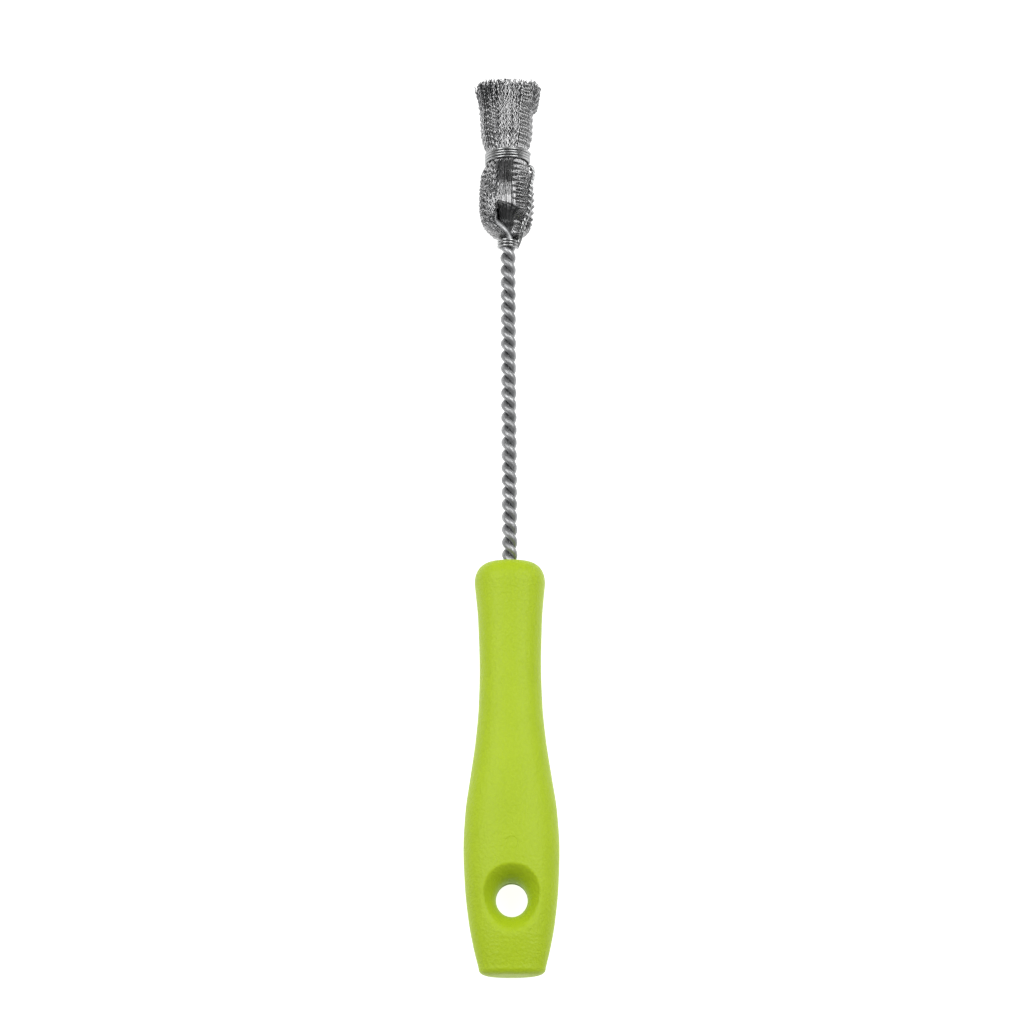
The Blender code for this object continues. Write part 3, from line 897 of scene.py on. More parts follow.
        # The back's loop runs the other way round, so its throat is matched point by point.
        front, back = throats
        flat = np.concatenate(points)
        bearing_front = np.arctan2(
            flat[front, 1] - self.layout.butt_y - self.hole_from_butt, flat[front, 0]
        )
        bearing_back = np.arctan2(
            flat[back, 1] - self.layout.butt_y - self.hole_from_butt, flat[back, 0]
        )
        front = front[np.argsort(bearing_front)]
        back = back[np.argsort(bearing_back)]
        front_after = np.roll(front, -1)
        back_after = np.roll(back, -1)
        wall = np.stack([front, front_after, back_after, back], axis=-1)
        body = grid_faces(rows, columns, wrap=True).reshape(rows - 1, columns, 4)[keep]
        ends = [index[0][None, ::-1], index[-1][None, :]]
        faces = [np.concatenate([body, *faces, wall]), *ends]
        handle = add_piece("handle_body", flat, faces, material)
        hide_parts("handle")
        return handle


# ---------------------------------------------------------------- the hank, shared by wire and bristles


@dataclass(frozen=True)
class Hank:
    """The shape that the shaft's eye, the bristles and the ties share, measured along from the fold."""

    layout: Layout
    head_length: float = 50.5
    twist: tuple[float, float] = (22.0, -60.0)      # degrees about the shaft, below the eye and above it
    twist_length: float = 6.5
    shoulder_radius: float = 8.65
    shoulder_length: float = 11.0
    shoulder_squareness: float = 2.5
    waist_from_fold: float = 25.7
    waist_radius: float = 6.4
    waist_band: float = 4.28
    band_overlap: tuple[float, float] = (0.7, 0.5)      # how far under the band the hank starts to widen
    neck: tuple[float, float] = (19.0, 8.1)
    splay: tuple[tuple[float, float], ...] = (
        (30.7, 7.5), (34.5, 8.15), (41.0, 8.35), (45.5, 8.7), (50.5, 9.1),
    )                               # place along and radius, above the waist
    shaft_wire: float = 2.4
    strand_gap: float = 0.14
    eye_start: float = -1.2
    eye_shoulder: float = 6.2
    eye_half_width: float = 5.15
    eye_crown: float = 4.55
    eye_play: float = 0.37
    halves_gap: float = 0.1
    closing_length: float = 3.5     # over which the two halves close above the eye

    @property
    def fold_y(self) -> float:
        """Place of the fold on the Y axis."""
        return self.layout.tip_y - self.head_length

    @property
    def strand_radius(self) -> float:
        """Distance of a strand's centre from the shaft's axis."""
        return (self.shaft_wire + self.strand_gap) / 2.0

    @property
    def eye_centre(self) -> float:
        """Where the eye is widest."""
        return self.eye_start + self.eye_shoulder

    @property
    def clearance(self) -> float:
        """Distance from the centre of the eye's wire to the nearest bristles."""
        return self.shaft_wire / 2.0 + self.eye_play

    def turn(self, along: Array) -> Array:
        """Turn of the hank about the shaft: a twist that dies away as a square.

        Args:
            along: Place along from the fold.

        Returns:
            Radians from the front toward +X.
        """
        first, last = np.radians(self.twist)
        left = 1.0 - np.clip((along - self.eye_start) / self.twist_length, 0.0, 1.0)
        return last + (first - last) * left**2

    def around_axis(self, radius: Array, turn: Array, along: Array) -> Array:
        """Points at a radius and a turn from the front toward +X.

        Args:
            radius: Distance from the axis.
            turn: Radians from the front toward +X.
            along: Place along from the fold.

        Returns:
            Points as (x, y, z).
        """
        x = radius * np.sin(turn)
        y = self.fold_y + along + 0.0 * x
        return np.stack([x, y, self.layout.axis_z + radius * np.cos(turn)], axis=-1)

    def leg(self, along: Array) -> Array:
        """Distance of a strand from the axis where the two strands part to make the eye."""
        parting = smooth_step((along - self.eye_start) / self.eye_shoulder)
        return self.strand_radius + (self.eye_half_width - self.strand_radius) * parting

    def radius(self, along: Array) -> Array:
        """Outer radius of the hank: a superellipse at the shoulder, then the waist and the splay.

        Args:
            along: Place along from the fold.

        Returns:
            The radius there.
        """
        before = self.waist_from_fold - self.waist_band / 2.0 + self.band_overlap[0]
        after = self.waist_from_fold + self.waist_band / 2.0 - self.band_overlap[1]
        places, radii = zip(*self.splay)
        knots = (self.shoulder_length, self.neck[0], before, after, *places)
        values = (self.shoulder_radius, self.neck[1], self.waist_radius, self.waist_radius, *radii)
        shoulder = np.clip(1.0 - along / self.shoulder_length, 0.0, 1.0)
        power = self.shoulder_squareness
        low = self.shoulder_radius * (1.0 - shoulder**power) ** (1.0 / power)
        return np.where(along < self.shoulder_length, low, through_points(knots, values, along))

    def passage(self, out: Array) -> tuple[Array, Array]:
        """Lowest and highest place inside the eye, clear of its wire.

        Args:
            out: Distances from the axis, along the eye's width.

        Returns:
            Low and high places along from the fold.
        """
        leg = np.linspace(self.eye_start, self.eye_centre, 60)
        arch = np.linspace(0.0, math.pi / 2.0, 60)
        arch_out = self.eye_half_width * np.cos(arch)
        arch_along = self.eye_centre + self.eye_crown * np.sin(arch)
        away = np.abs(out)[..., None]
        beside_leg = np.clip(self.clearance**2 - (away - self.leg(leg)) ** 2, 0.0, None)
        beside_arch = np.clip(self.clearance**2 - (away - arch_out) ** 2, 0.0, None)
        low = np.where(beside_leg > 0.0, leg + np.sqrt(beside_leg), self.eye_start)
        high = np.where(beside_arch > 0.0, arch_along - np.sqrt(beside_arch), np.inf)
        return np.max(low, axis=-1), np.min(high, axis=-1)

    def inner_face(self, along: Array) -> Array:
        """Half the gap between the hank's two halves: round the eye's wire, then closed above it.

        Args:
            along: Place along from the fold.

        Returns:
            Half the gap there.
        """
        above = self.eye_centre + self.eye_crown + 0.5 * self.clearance
        closed = smooth_step((along - above) / self.closing_length)
        return self.clearance + (self.halves_gap / 2.0 - self.clearance) * closed


# ---------------------------------------------------------------- shaft


@dataclass
class Shaft:
    """One steel wire folded in half: its two strands are twisted, and its fold makes the eye."""

    hank: Hank
    lay_in_wires: float = 3.4       # length of a full turn, in wire diameters
    in_handle: float = 42.0
    run_out: float = 1.6            # length over which the twist starts below the eye
    points_per_turn: int = 36
    sides: int = 22
    hand_made: float = 0.03         # how far the strands wander from a true helix

    @property
    def lay(self) -> float:
        """Length of one full turn of the twist."""
        return self.lay_in_wires * self.hank.shaft_wire

    def turn(self, along: Array) -> Array:
        """Turn of the first strand: the hank's at the eye, then a left-handed twist down the shaft.

        Args:
            along: Place along from the fold.

        Returns:
            Radians from the front toward +X.
        """
        below = np.clip(self.hank.eye_start - along, 0.0, None)
        starting = below**2 / (2.0 * self.run_out)
        eased = np.where(below < self.run_out, starting, below - self.run_out / 2.0)
        return self.hank.turn(along) + eased * TAU / self.lay

    def path(self) -> tuple[Array, Array]:
        """The wire's centre line: up one strand, round the eye, and down the other strand.

        Returns:
            The points, and a direction across the eye at each.
        """
        hank = self.hank
        tail = hank.layout.nose_y - self.in_handle - hank.fold_y
        turns = (hank.eye_start - tail) / self.lay
        twisted = np.linspace(tail, hank.eye_start, int(turns * self.points_per_turn) + 1)
        leg = np.linspace(hank.eye_start, hank.eye_centre, 24)[1:]
        up = np.concatenate([twisted, leg])
        arch = np.linspace(0.0, math.pi, 40)[1:-1]
        along = np.concatenate([up, hank.eye_centre + hank.eye_crown * np.sin(arch), up[::-1]])
        out = np.concatenate([hank.leg(up), hank.eye_half_width * np.cos(arch), -hank.leg(up[::-1])])
        wander = self.hand_made * np.sin(along / 5.3) * smooth_step((hank.eye_start - along) / 6.0)
        turn = self.turn(along) + 3.0 * wander * np.sin(along / 17.0)
        across = np.stack([np.cos(turn), np.zeros_like(turn), -np.sin(turn)], axis=-1)
        return hank.around_axis(out, turn, along), across

    def build(self, material: bpy.types.Material) -> bpy.types.Object:
        """Mesh the wire and close its two cut ends inside the handle.

        Args:
            material: Finish of the wire.

        Returns:
            The shaft.
        """
        path, across = self.path()
        points, faces, uv = sweep(path[None], across[None], self.hank.shaft_wire / 2.0, self.sides)
        shaft = add_piece("twisted_shaft", points, faces, material, uv=uv)
        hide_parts("shaft_wire")
        return shaft


# ---------------------------------------------------------------- ties


def round_cut_ends(path: Array, radius: float, length: float = 0.35, cut: float = 0.72) -> Array:
    """Radius of a wire that narrows a little at its two snipped ends.

    Args:
        path: Stations by (x, y, z).
        radius: The wire's radius.
        length: How far from an end the narrowing reaches.
        cut: Share of the radius that is left at the very end.

    Returns:
        A radius for each station.
    """
    step = np.linalg.norm(np.diff(path, axis=0), axis=1)
    along = np.concatenate([[0.0], np.cumsum(step)])
    end = np.minimum(along, along[-1] - along)
    return radius * (cut + (1.0 - cut) * np.sqrt(np.clip(end / length, 0.0, 1.0)))


@dataclass
class WaistTie:
    """The band of tie wire that gathers the hank, wound four times, its two ends springing a little off
    the band.
    """

    hank: Hank
    wire: float = 0.8
    play: float = 0.12
    turns: float = 4.0
    turn_gap: float = 0.07
    start: float = 100.0            # degrees from the front
    end_lift: float = 0.35          # how far the last end springs off the band
    unevenness: float = 0.05        # how far the turns wander, being wound by hand
    sides: int = 12

    def build(self, material: bpy.types.Material) -> bpy.types.Object:
        """Mesh the coil: a helix whose radius swells slightly over the bristles under it.

        Args:
            material: Finish of the wire.

        Returns:
            The band.
        """
        radius = self.hank.waist_radius + self.play + self.wire / 2.0
        turn = np.linspace(0.0, TAU * self.turns, int(90 * self.turns) + 1)
        share = turn / (TAU * self.turns)
        rise = (turn / TAU - self.turns / 2.0) * (self.wire + self.turn_gap)
        rise += self.unevenness * np.sin(turn * 1.3 + 0.4) * np.sin(math.pi * share)
        swell = self.unevenness * (np.sin(3.0 * turn + 1.0) + 0.8 * np.sin(5.2 * turn))
        at_first = smooth_step((0.04 - share) / 0.04)
        at_last = smooth_step((share - 0.95) / 0.05)
        spring = self.end_lift * (at_last + 0.6 * at_first)
        path = self.hank.around_axis(
            radius + swell + spring, math.radians(self.start) + turn, self.hank.waist_from_fold + rise
        )
        outward = path - np.array([0.0, 0.0, self.hank.layout.axis_z])
        outward[:, 1] = 0.0
        wire_radius = round_cut_ends(path, self.wire / 2.0)
        points, faces, uv = sweep(path[None], outward[None], wire_radius[None], self.sides)
        tie = add_piece("waist_tie_coil", points, faces, material, uv=uv)
        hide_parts("waist_tie_wire")
        return tie


@dataclass
class BaseTie:
    """The tie wire that binds the hank's foot, its two ends twisted together up the side."""

    hank: Hank
    wire: float = 0.8
    play: float = 0.15
    turns: float = 3.0
    turn_gap: float = 0.12
    from_fold: float = -1.5
    pair_twists: float = 6.3
    pair_gap: float = 0.04
    pair_end_gap: float = 1.0       # from the pair's cut ends to the waist band
    pair_side: tuple[tuple[float, float], ...] = (
        (0.0, 62.0), (3.0, 43.0), (9.0, 47.0), (15.0, 52.0), (22.5, 72.0),
    )                               # place along from the fold, and degrees from the front
    pair_into_coil: float = 33.0    # degrees further round to where the coil starts
    pull: tuple[float, float, float] = (1.6, 2.4, 4.2)  # run-on into the coil, out of it, into the pair
    bridge_points: tuple[int, int] = (14, 24)           # in the bends into the coil and out of it
    knob: float = 0.9               # how far the pair stands off where it leaves the coil
    sides: int = 12

    def strand(self, sign: float) -> tuple[Array, Array]:
        """One of the two twisted ends, from the base up to the waist.

        Args:
            sign: 1 or -1, for the side of the pair's centre line that the strand starts on.

        Returns:
            The strand's points and a sideways direction at each.
        """
        hank = self.hank
        start = self.from_fold + 2.5 * self.wire
        stop = hank.waist_from_fold - hank.waist_band / 2.0 - self.pair_end_gap
        along = np.linspace(start, stop, int(self.pair_twists * 26.0) + 1)
        places, degrees = zip(*self.pair_side)
        side = np.radians(through_points(places, degrees, along)) + 0.03 * np.sin(along / 2.7)
        least = hank.strand_radius + hank.shaft_wire / 2.0 + 2.0 * self.play + 2.0 * self.wire
        least = least + self.knob * smooth_step((2.5 - along) / 2.5)
        radius = np.maximum(hank.radius(along) + self.wire + 0.08 + self.play, least)
        centre = hank.around_axis(radius, side, along)
        forward = unit(np.gradient(centre, axis=0))
        outward = np.stack([np.sin(side), 0.0 * side, np.cos(side)], axis=-1)
        outward = unit(outward - np.sum(outward * forward, axis=1, keepdims=True) * forward)
        sideways = np.cross(forward, outward)
        run = np.concatenate([[0.0], np.cumsum(np.linalg.norm(np.diff(centre, axis=0), axis=1))])
        share = run / run[-1]
        twist = (-TAU * self.pair_twists * share - 0.35 * np.sin(9.0 * share))[:, None]
        away = np.cos(twist) * outward + np.sin(twist) * sideways
        across = -np.sin(twist) * outward + np.cos(twist) * sideways
        return centre + sign * (self.wire + self.pair_gap) / 2.0 * away, across

    def build(self, material: bpy.types.Material) -> bpy.types.Object:
        """Mesh the wire: one end down, three turns round the base, and the other end back up.

        Args:
            material: Finish of the wire.

        Returns:
            The tie.
        """
        hank = self.hank
        radius = hank.strand_radius + hank.shaft_wire / 2.0 + self.play + self.wire / 2.0
        first = math.radians(self.pair_side[0][1] + self.pair_into_coil)
        turn = np.linspace(0.0, TAU * (self.turns - 0.02), int(64 * self.turns) + 1)
        drop = self.from_fold - turn / TAU * (self.wire + self.turn_gap)
        coil = hank.around_axis(radius, first + turn, drop)
        coil_out = coil - hank.around_axis(0.0, first + turn, drop)
        near, near_across = (part[::-1] for part in self.strand(-1.0))
        far, far_across = self.strand(1.0)
        into = cubic_bridge(
            near[-1], self.pull[0] * unit(near[-1] - near[-2]),
            coil[0], self.pull[0] * unit(coil[1] - coil[0]), self.bridge_points[0],
        )
        out_of = cubic_bridge(
            coil[-1], self.pull[1] * unit(coil[-1] - coil[-2]),
            far[0], self.pull[2] * unit(far[1] - far[0]), self.bridge_points[1],
        )
        path = np.concatenate([near, into, coil, out_of, far])
        sideways = np.concatenate([
            near_across,
            self.between(near_across[-1], coil_out[0], self.bridge_points[0]),
            coil_out,
            self.between(coil_out[-1], far_across[0], self.bridge_points[1]),
            far_across,
        ])
        wire_radius = round_cut_ends(path, self.wire / 2.0)
        points, faces, uv = sweep(path[None], sideways[None], wire_radius[None], self.sides)
        tie = add_piece("base_tie_twist", points, faces, material, uv=uv)
        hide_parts("base_tie_wire")
        return tie

    @staticmethod
    def between(first: Array, last: Array, count: int) -> Array:
        """Directions that turn evenly from one to another, both left out."""
        share = np.linspace(0.0, 1.0, count + 2)[1:-1, None]
        return (1.0 - share) * unit(first) + share * unit(last)


# ---------------------------------------------------------------- bristles


class Layer(Enum):
    """The three layers of locks, from the eye's wire outward, and the depths that each one spans."""

    INNER = ("inner", 0.0, 1.0 / 3.0)
    MIDDLE = ("middle", 1.0 / 3.0, 2.0 / 3.0)
    OUTER = ("outer", 2.0 / 3.0, 1.0)

    @property
    def label(self) -> str:
        """The layer's name in the model's node names."""
        return self.value[0]

    @property
    def depths(self) -> tuple[float, float]:
        """Where the layer starts and ends."""
        return self.value[1], self.value[2]


@dataclass(frozen=True)
class Crimp:
    """The wave that toothed rollers press into a bristle wire."""

    pitch: float = 2.15
    depth: float = 0.23             # half the height of the wave
    stacked_depth: float = 0.43     # the same where the waves lie in step
    pitch_spread: float = 0.012
    depth_spread: float = 0.18
    phase_spread: float = 0.75      # radians between neighbours that nest in each other


@dataclass(frozen=True)
class Strands:
    """The smooth routes of one lock's wires, before they are crimped."""

    side: Array         # of each wire, from -1 to 1 along the eye's width
    depth: Array        # of each wire, from 0 at the eye's wire to 1 at the hank's surface
    place: Array        # of each station, from -1 to 1, 0 at the fold
    points: Array       # wires by stations by (x, y, z)
    outward: Array      # the way out from the axis, at each point
    along: Array        # place along from the fold, at each point


@dataclass
class Bristles:
    """Several hundred crimped wires, folded in half through the eye and tied at the waist."""

    hank: Hank
    crimp: Crimp = field(default_factory=Crimp)
    columns: int = 6
    side_limit: float = 0.998
    wire: float = 0.34
    sides: int = 5
    turning: int = 34               # stations from the fold to the end of the turn
    rising: int = 142               # stations from there to the tip
    turn_share: float = 0.3
    waist_share: float = 0.62
    fold_floor: float = -2.0
    wires: tuple[int, int, int] = (12, 16, 15)      # wires inside one lock of each layer
    skin_wires: int = 124           # wires in the hank's outermost skin, shared out by its arc
    hollow_floor: tuple[float, float] = (0.9, 0.66)  # radius at the fold, and its growth per millimetre
    hollow_top: tuple[float, float] = (8.97, 3.4)   # where the hollow ends: in front, and less by bearing
    hollow_side: tuple[float, float] = (0.65, 0.75)     # bearing where its right bank starts, and width
    lap: tuple[float, float, float] = (0.15, 0.16, 0.92)    # radians at the fold, more per mm, at most
    lap_width: float = 1.1          # radians on the left over which the lap fades
    front_dip: float = 0.55         # how far the front sinks just below the band and just above it
    front_dip_at: tuple[float, float] = (19.3, 31.3)
    tip_squareness: float = 2.8     # superellipse exponent of the section at the tips
    lean: float = -0.4              # how far the hank leans to one side of the shaft
    step_edge: tuple[float, float] = (0.40, 0.10)   # share of +X where crimps fall in step: above, below
    tip_spread: tuple[float, float] = (0.35, 0.75)  # how far the tips stray outward and sideways
    flare: float = 1.2              # how far the tips on the right side spring out
    stray_share: float = 0.08       # of the wires, which stand out at their tips
    stray_lift: float = 1.3
    # tone of the wires: a random share for handling, then painted shade on wires deep in the hank and on
    # those in the hollow beside the eye's front leg
    tone_and_painted_shade: tuple[float, float, float] = (0.8, 0.5, 0.45)     # tone by chance, by depth, in the hollow
    seed: int = 71

    def place(self) -> Array:
        """Stations along a wire from tip to tip, 0 at the fold.

        Returns:
            The stations, from -1 to 1.
        """
        turning = np.linspace(0.0, self.turn_share, self.turning + 1)
        rising = np.linspace(self.turn_share, 1.0, self.rising + 1)[1:]
        half = np.concatenate([turning, rising])
        return np.concatenate([-half[:0:-1], half])

    def section(self, side: Array, depth: Array, along: Array) -> tuple[Array, Array]:
        """Read the section of one half of the hank: its inner face is flat and its outer face round.

        Args:
            side: From -1 to 1 along the eye's width.
            depth: From 0 at the inner face to 1 at the outer face.
            along: Place along from the fold.

        Returns:
            Distance out of the eye's plane, and the half width of the section.
        """
        inner = self.hank.inner_face(along)
        radius = self.hank.radius(along) - self.wire / 2.0
        width = np.sqrt(np.clip(radius**2 - inner**2, 0.01, None))
        outer = np.sqrt(np.clip(radius**2 - (side * width) ** 2, 0.0, None))
        return inner + depth * (outer - inner), width

    def follow_hank(
        self, side: Array, depth: Array, place: Array, reach: Array
    ) -> tuple[Array, Array, Array]:
        """Lead the wires through the eye and up the hank.

        A wire passes through the eye, turns up on a quarter of an ellipse until the turn's share, and
        then follows the hank's profile through the waist to its tip.

        Args:
            side: From -1 to 1 along the eye's width.
            depth: From 0 at the eye's wire to 1 at the hank's surface.
            place: From -1 to 1 along a wire.
            reach: How far short of the hank's length a wire ends.

        Returns:
            Distances along the eye's width and out of its plane, and the place along.
        """
        hank = self.hank
        half = np.abs(place)
        crown = np.sqrt(1.0 - side**2)
        passage_width = hank.eye_half_width - hank.clearance - hank.eye_play
        low, high = hank.passage(side * passage_width)
        start = low + (1.0 - depth) * (high - low)
        rise = hank.clearance + (hank.shoulder_length - hank.clearance) * depth * crown
        over_leg = (place < 0.0) & (side > 0.0)
        droop = depth * (low - self.fold_floor) * np.where(over_leg, 0.8 + 0.2 * crown, crown)
        end = start + rise - droop

        end_out, end_width = self.section(side, depth, end)
        angle = np.clip(half / self.turn_share, 0.0, 1.0) * math.pi / 2.0
        turn_out = end_out * np.sin(angle)
        turn_along = start + rise * (1.0 - np.cos(angle)) - droop * smooth_step(turn_out / 3.0)
        to_waist = np.clip((half - self.turn_share) / (self.waist_share - self.turn_share), 0.0, 1.0)
        to_tip = np.clip((half - self.waist_share) / (1.0 - self.waist_share), 0.0, 1.0)
        rest = turn_along + (hank.waist_from_fold - turn_along) * to_waist
        rest = rest + (hank.head_length - reach - hank.waist_from_fold) * to_tip
        rest_out, rest_width = self.section(side, depth, rest)

        turns = half <= self.turn_share
        out = np.where(turns, turn_out, rest_out)
        along = np.where(turns, turn_along, rest)
        width = np.where(turns, end_width, rest_width)
        past_wire = smooth_step((out - hank.clearance) / np.where(over_leg, 1.1, 3.5))
        past_turn = smooth_step((along - end) / 8.0)
        spread = 1.0 - (1.0 - past_wire) * (1.0 - past_turn)
        across = side * (passage_width + (width - passage_width) * spread)
        return across, out * np.where(place < 0.0, -1.0, 1.0), along

    def head_points(
        self, side: Array, depth: Array, place: Array, reach: Array
    ) -> tuple[Array, Array, Array]:
        """Map places in the hank to millimetres.

        The hank's route is parted at the eye and turned about the shaft. Its round section then swells
        to a superellipse toward the tips, sinks in front just below and just above the band, and leans
        to one side.

        Args:
            side: From -1 to 1 along the eye's width.
            depth: From 0 at the eye's wire to 1 at the hank's surface.
            place: From -1 to 1 along a wire.
            reach: How far short of the hank's length a wire ends.

        Returns:
            The points, the way outward at each, and the place along.
        """
        hank = self.hank
        across, out, along = self.follow_hank(side, depth, place, reach)
        across, out = self.part_at_eye(across, out, along)
        turn = hank.turn(along)
        x = across * np.sin(turn) + out * np.cos(turn)
        z = across * np.cos(turn) - out * np.sin(turn)
        radius = np.maximum(np.hypot(x, z), 1e-6)

        power = self.tip_squareness
        corner = (np.abs(x / radius) ** power + np.abs(z / radius) ** power) ** (-1.0 / power)
        shape = 1.0 + (corner - 1.0) * smooth_step((along - 37.0) / 12.0)
        front = np.exp(-(((x - 0.5) / 4.2) ** 4)) * (z > 0.0)
        below_band, above_band = (np.exp(-(((along - at) / 2.3) ** 2)) for at in self.front_dip_at)
        shape = shape - self.front_dip / radius * depth * front * (below_band + above_band)
        x = x * shape
        z = z * shape
        leans = smooth_step(along / 6.0) * (1.0 - 0.5 * smooth_step((along - 20.0) / 5.0))
        points = np.stack([x + self.lean * leans, hank.fold_y + along, hank.layout.axis_z + z], axis=-1)
        outward = unit(np.stack([x, np.zeros_like(x), z], axis=-1) + 1.0e-6)
        return points, outward, along

    def part_at_eye(self, across: Array, out: Array, along: Array) -> tuple[Array, Array]:
        """Hollow the right half in front of the eye, and lap the left half over the eye's front leg.

        In polar terms about the axis, the radius beyond the eye's opening shrinks so that the surface
        follows a cone up to a steep bank, and on the left the angle turns toward the seam.

        Args:
            across: Distance along the eye's width.
            out: Distance out of the eye's plane, above 0 on the right.
            along: Place along from the fold.

        Returns:
            The new distances across and out.
        """
        hank = self.hank
        radius = np.hypot(across, out)
        angle = np.arctan2(out, across)
        bearing = hank.turn(along) + angle
        opening = np.clip(hank.leg(along) - hank.clearance + 0.15, 0.3, 3.4)
        top = self.hollow_top[0] - self.hollow_top[1] * np.sin(bearing)
        floor = self.hollow_floor[0] + self.hollow_floor[1] * np.clip(along, -1.5, None)
        floor = floor + 6.0 * smooth_step((along - top + 1.6) / 2.4)
        share = np.clip((floor - opening) / np.maximum(hank.radius(along) - opening, 0.2), 0.05, 1.0)
        bank = 1.0 - smooth_step((bearing - self.hollow_side[0]) / self.hollow_side[1])
        shrink = np.where(angle > 0.0, (1.0 - share) * bank, 0.0)
        hollowed = radius - np.clip(radius - opening, 0.0, None) * shrink
        near = np.where(angle <= 0.0, np.exp(-((angle / self.lap_width) ** 2)), 0.0)
        at_fold, growth, most = self.lap
        lap = np.clip(at_fold + growth * along, 0.0, most) * (1.0 - smooth_step((along - 11.0) / 9.0))
        angle = angle + lap * near * smooth_step((radius - hank.leg(along) - 1.1) / 0.9)
        return hollowed * np.cos(angle), hollowed * np.sin(angle)

    def lanes(self, rng: np.random.Generator, layer: Layer, column: int) -> tuple[Array, Array]:
        """Where a lock's wires lie in the hank: spread through it, and in the outer layer also in a skin.

        Args:
            rng: Source of the random numbers.
            layer: The lock's layer.
            column: The lock's column.

        Returns:
            Side and depth of each wire.
        """
        under_skin = 0.92
        edges = self.side_limit * np.linspace(-1.0, 1.0, self.columns + 1)
        first, last = edges[column], edges[column + 1]
        low, high = layer.depths
        inside = self.wires[list(Layer).index(layer)]
        cell = (rng.permutation(inside) + rng.uniform(0.1, 0.9, inside)) / inside
        side = first + (last - first) * cell
        cell = (np.arange(inside) + rng.uniform(0.1, 0.9, inside)) / inside
        depth = low + (min(high, under_skin) - low) * cell
        if layer is Layer.OUTER:
            arc = np.arcsin(edges)
            span = arc[column + 1] - arc[column]
            skin = int(round(self.skin_wires * span / (arc[-1] - arc[0])))
            cell = (np.arange(skin) + rng.uniform(0.2, 0.8, skin)) / skin
            side = np.concatenate([side, np.sin(arc[column] + span * cell)])
            sunk = 0.05 * (np.arange(skin) % 2)
            depth = np.concatenate([depth, rng.uniform(0.98, 1.0, skin) - sunk])
        return side, depth

    def wander(self, rng: np.random.Generator, wires: int, place: Array, scale: float) -> Array:
        """A slow random drift along each wire: a sum of three sines with random phases.

        Args:
            rng: Source of the random numbers.
            wires: How many wires.
            place: Stations.
            scale: Size of the drift in millimetres.

        Returns:
            Wires by stations.
        """
        rate = rng.uniform(2.0, 9.0, (wires, 3, 1))
        phase = rng.uniform(0.0, TAU, (wires, 3, 1))
        size = rng.normal(0.0, 1.0, (wires, 3, 1)) / 1.7
        return scale * np.sum(size * np.sin(rate * place[None, None, :] * 2.2 + phase), axis=1)

    def strands(self, rng: np.random.Generator, layer: Layer, column: int) -> Strands:
        """Lead a lock's wires from tip to tip, with tips of uneven length.

        Args:
            rng: Source of the random numbers.
            layer: The lock's layer.
            column: The lock's column.

        Returns:
            The smooth routes.
        """
        side, depth = self.lanes(rng, layer, column)
        place = self.place()
        wires = len(side)
        shape = (wires, len(place))
        bearing = np.sign(place) * np.arccos(side)[:, None] + math.radians(self.hank.twist[1])
        spare = [rng.uniform(0.0, 1.0, (wires, 1)) for _ in range(2)]
        spare = np.where(place > 0.0, spare[0], spare[1])
        reach = 0.05 + 2.1 * spare**1.7 + 0.35 * np.clip(np.cos(bearing), 0.0, 1.0)
        points, outward, along = self.head_points(
            np.broadcast_to(side[:, None], shape), np.broadcast_to(depth[:, None], shape),
            np.broadcast_to(place[None, :], shape), reach,
        )
        return Strands(side, depth, place, points, outward, along)

    def run_from_waist(self, strands: Strands) -> Array:
        """Length run along each wire, from 0 at the waist, the same way up on both of its halves.

        Args:
            strands: The lock's routes.

        Returns:
            Wires by stations.
        """
        step = np.linalg.norm(np.diff(strands.points, axis=1), axis=-1)
        run = np.concatenate([np.zeros((len(step), 1)), np.cumsum(step, axis=1)], axis=1)
        run = np.abs(run - run[:, len(strands.place) // 2][:, None])
        at_waist = np.argmin(np.abs(strands.place - self.waist_share))
        return run - run[:, at_waist][:, None]

    def below_waist(self, strands: Strands) -> Array:
        """Share that rises from 0 at the waist to 1 a little below it."""
        return smooth_step((self.hank.waist_from_fold - strands.along) / 4.0)

    def held(self, along: Array, width: float) -> Array:
        """Share that is 1 where the band holds the wires and falls to 0 away from it."""
        return np.exp(-(((along - self.hank.waist_from_fold) / width) ** 2))

    def in_hollow(self, strands: Strands) -> Array:
        """Share that is 1 in the hollow beside the eye's front leg and 0 away from it.

        Args:
            strands: The lock's routes.

        Returns:
            Wires by stations.
        """
        in_front = smooth_step((0.68 - strands.outward[..., 0]) / 0.3)
        return in_front * (strands.place > 0.0) * smooth_step((9.0 - strands.along) / 2.0)

    def in_step(self, strands: Strands) -> Array:
        """Share by which neighbouring crimps lie in step.

        They do so on the +X side, from further forward below the waist than above it, and below the
        waist also along the far left edge.

        Args:
            strands: The lock's routes.

        Returns:
            Wires by stations.
        """
        toward_x = strands.outward[..., 0]
        below = self.below_waist(strands)
        above_edge, below_edge = self.step_edge
        edge = above_edge - (above_edge - below_edge) * below
        right = smooth_step((toward_x - edge) / 0.3)
        left = smooth_step((-toward_x - 0.70) / 0.15) * below
        return np.maximum(right, left)

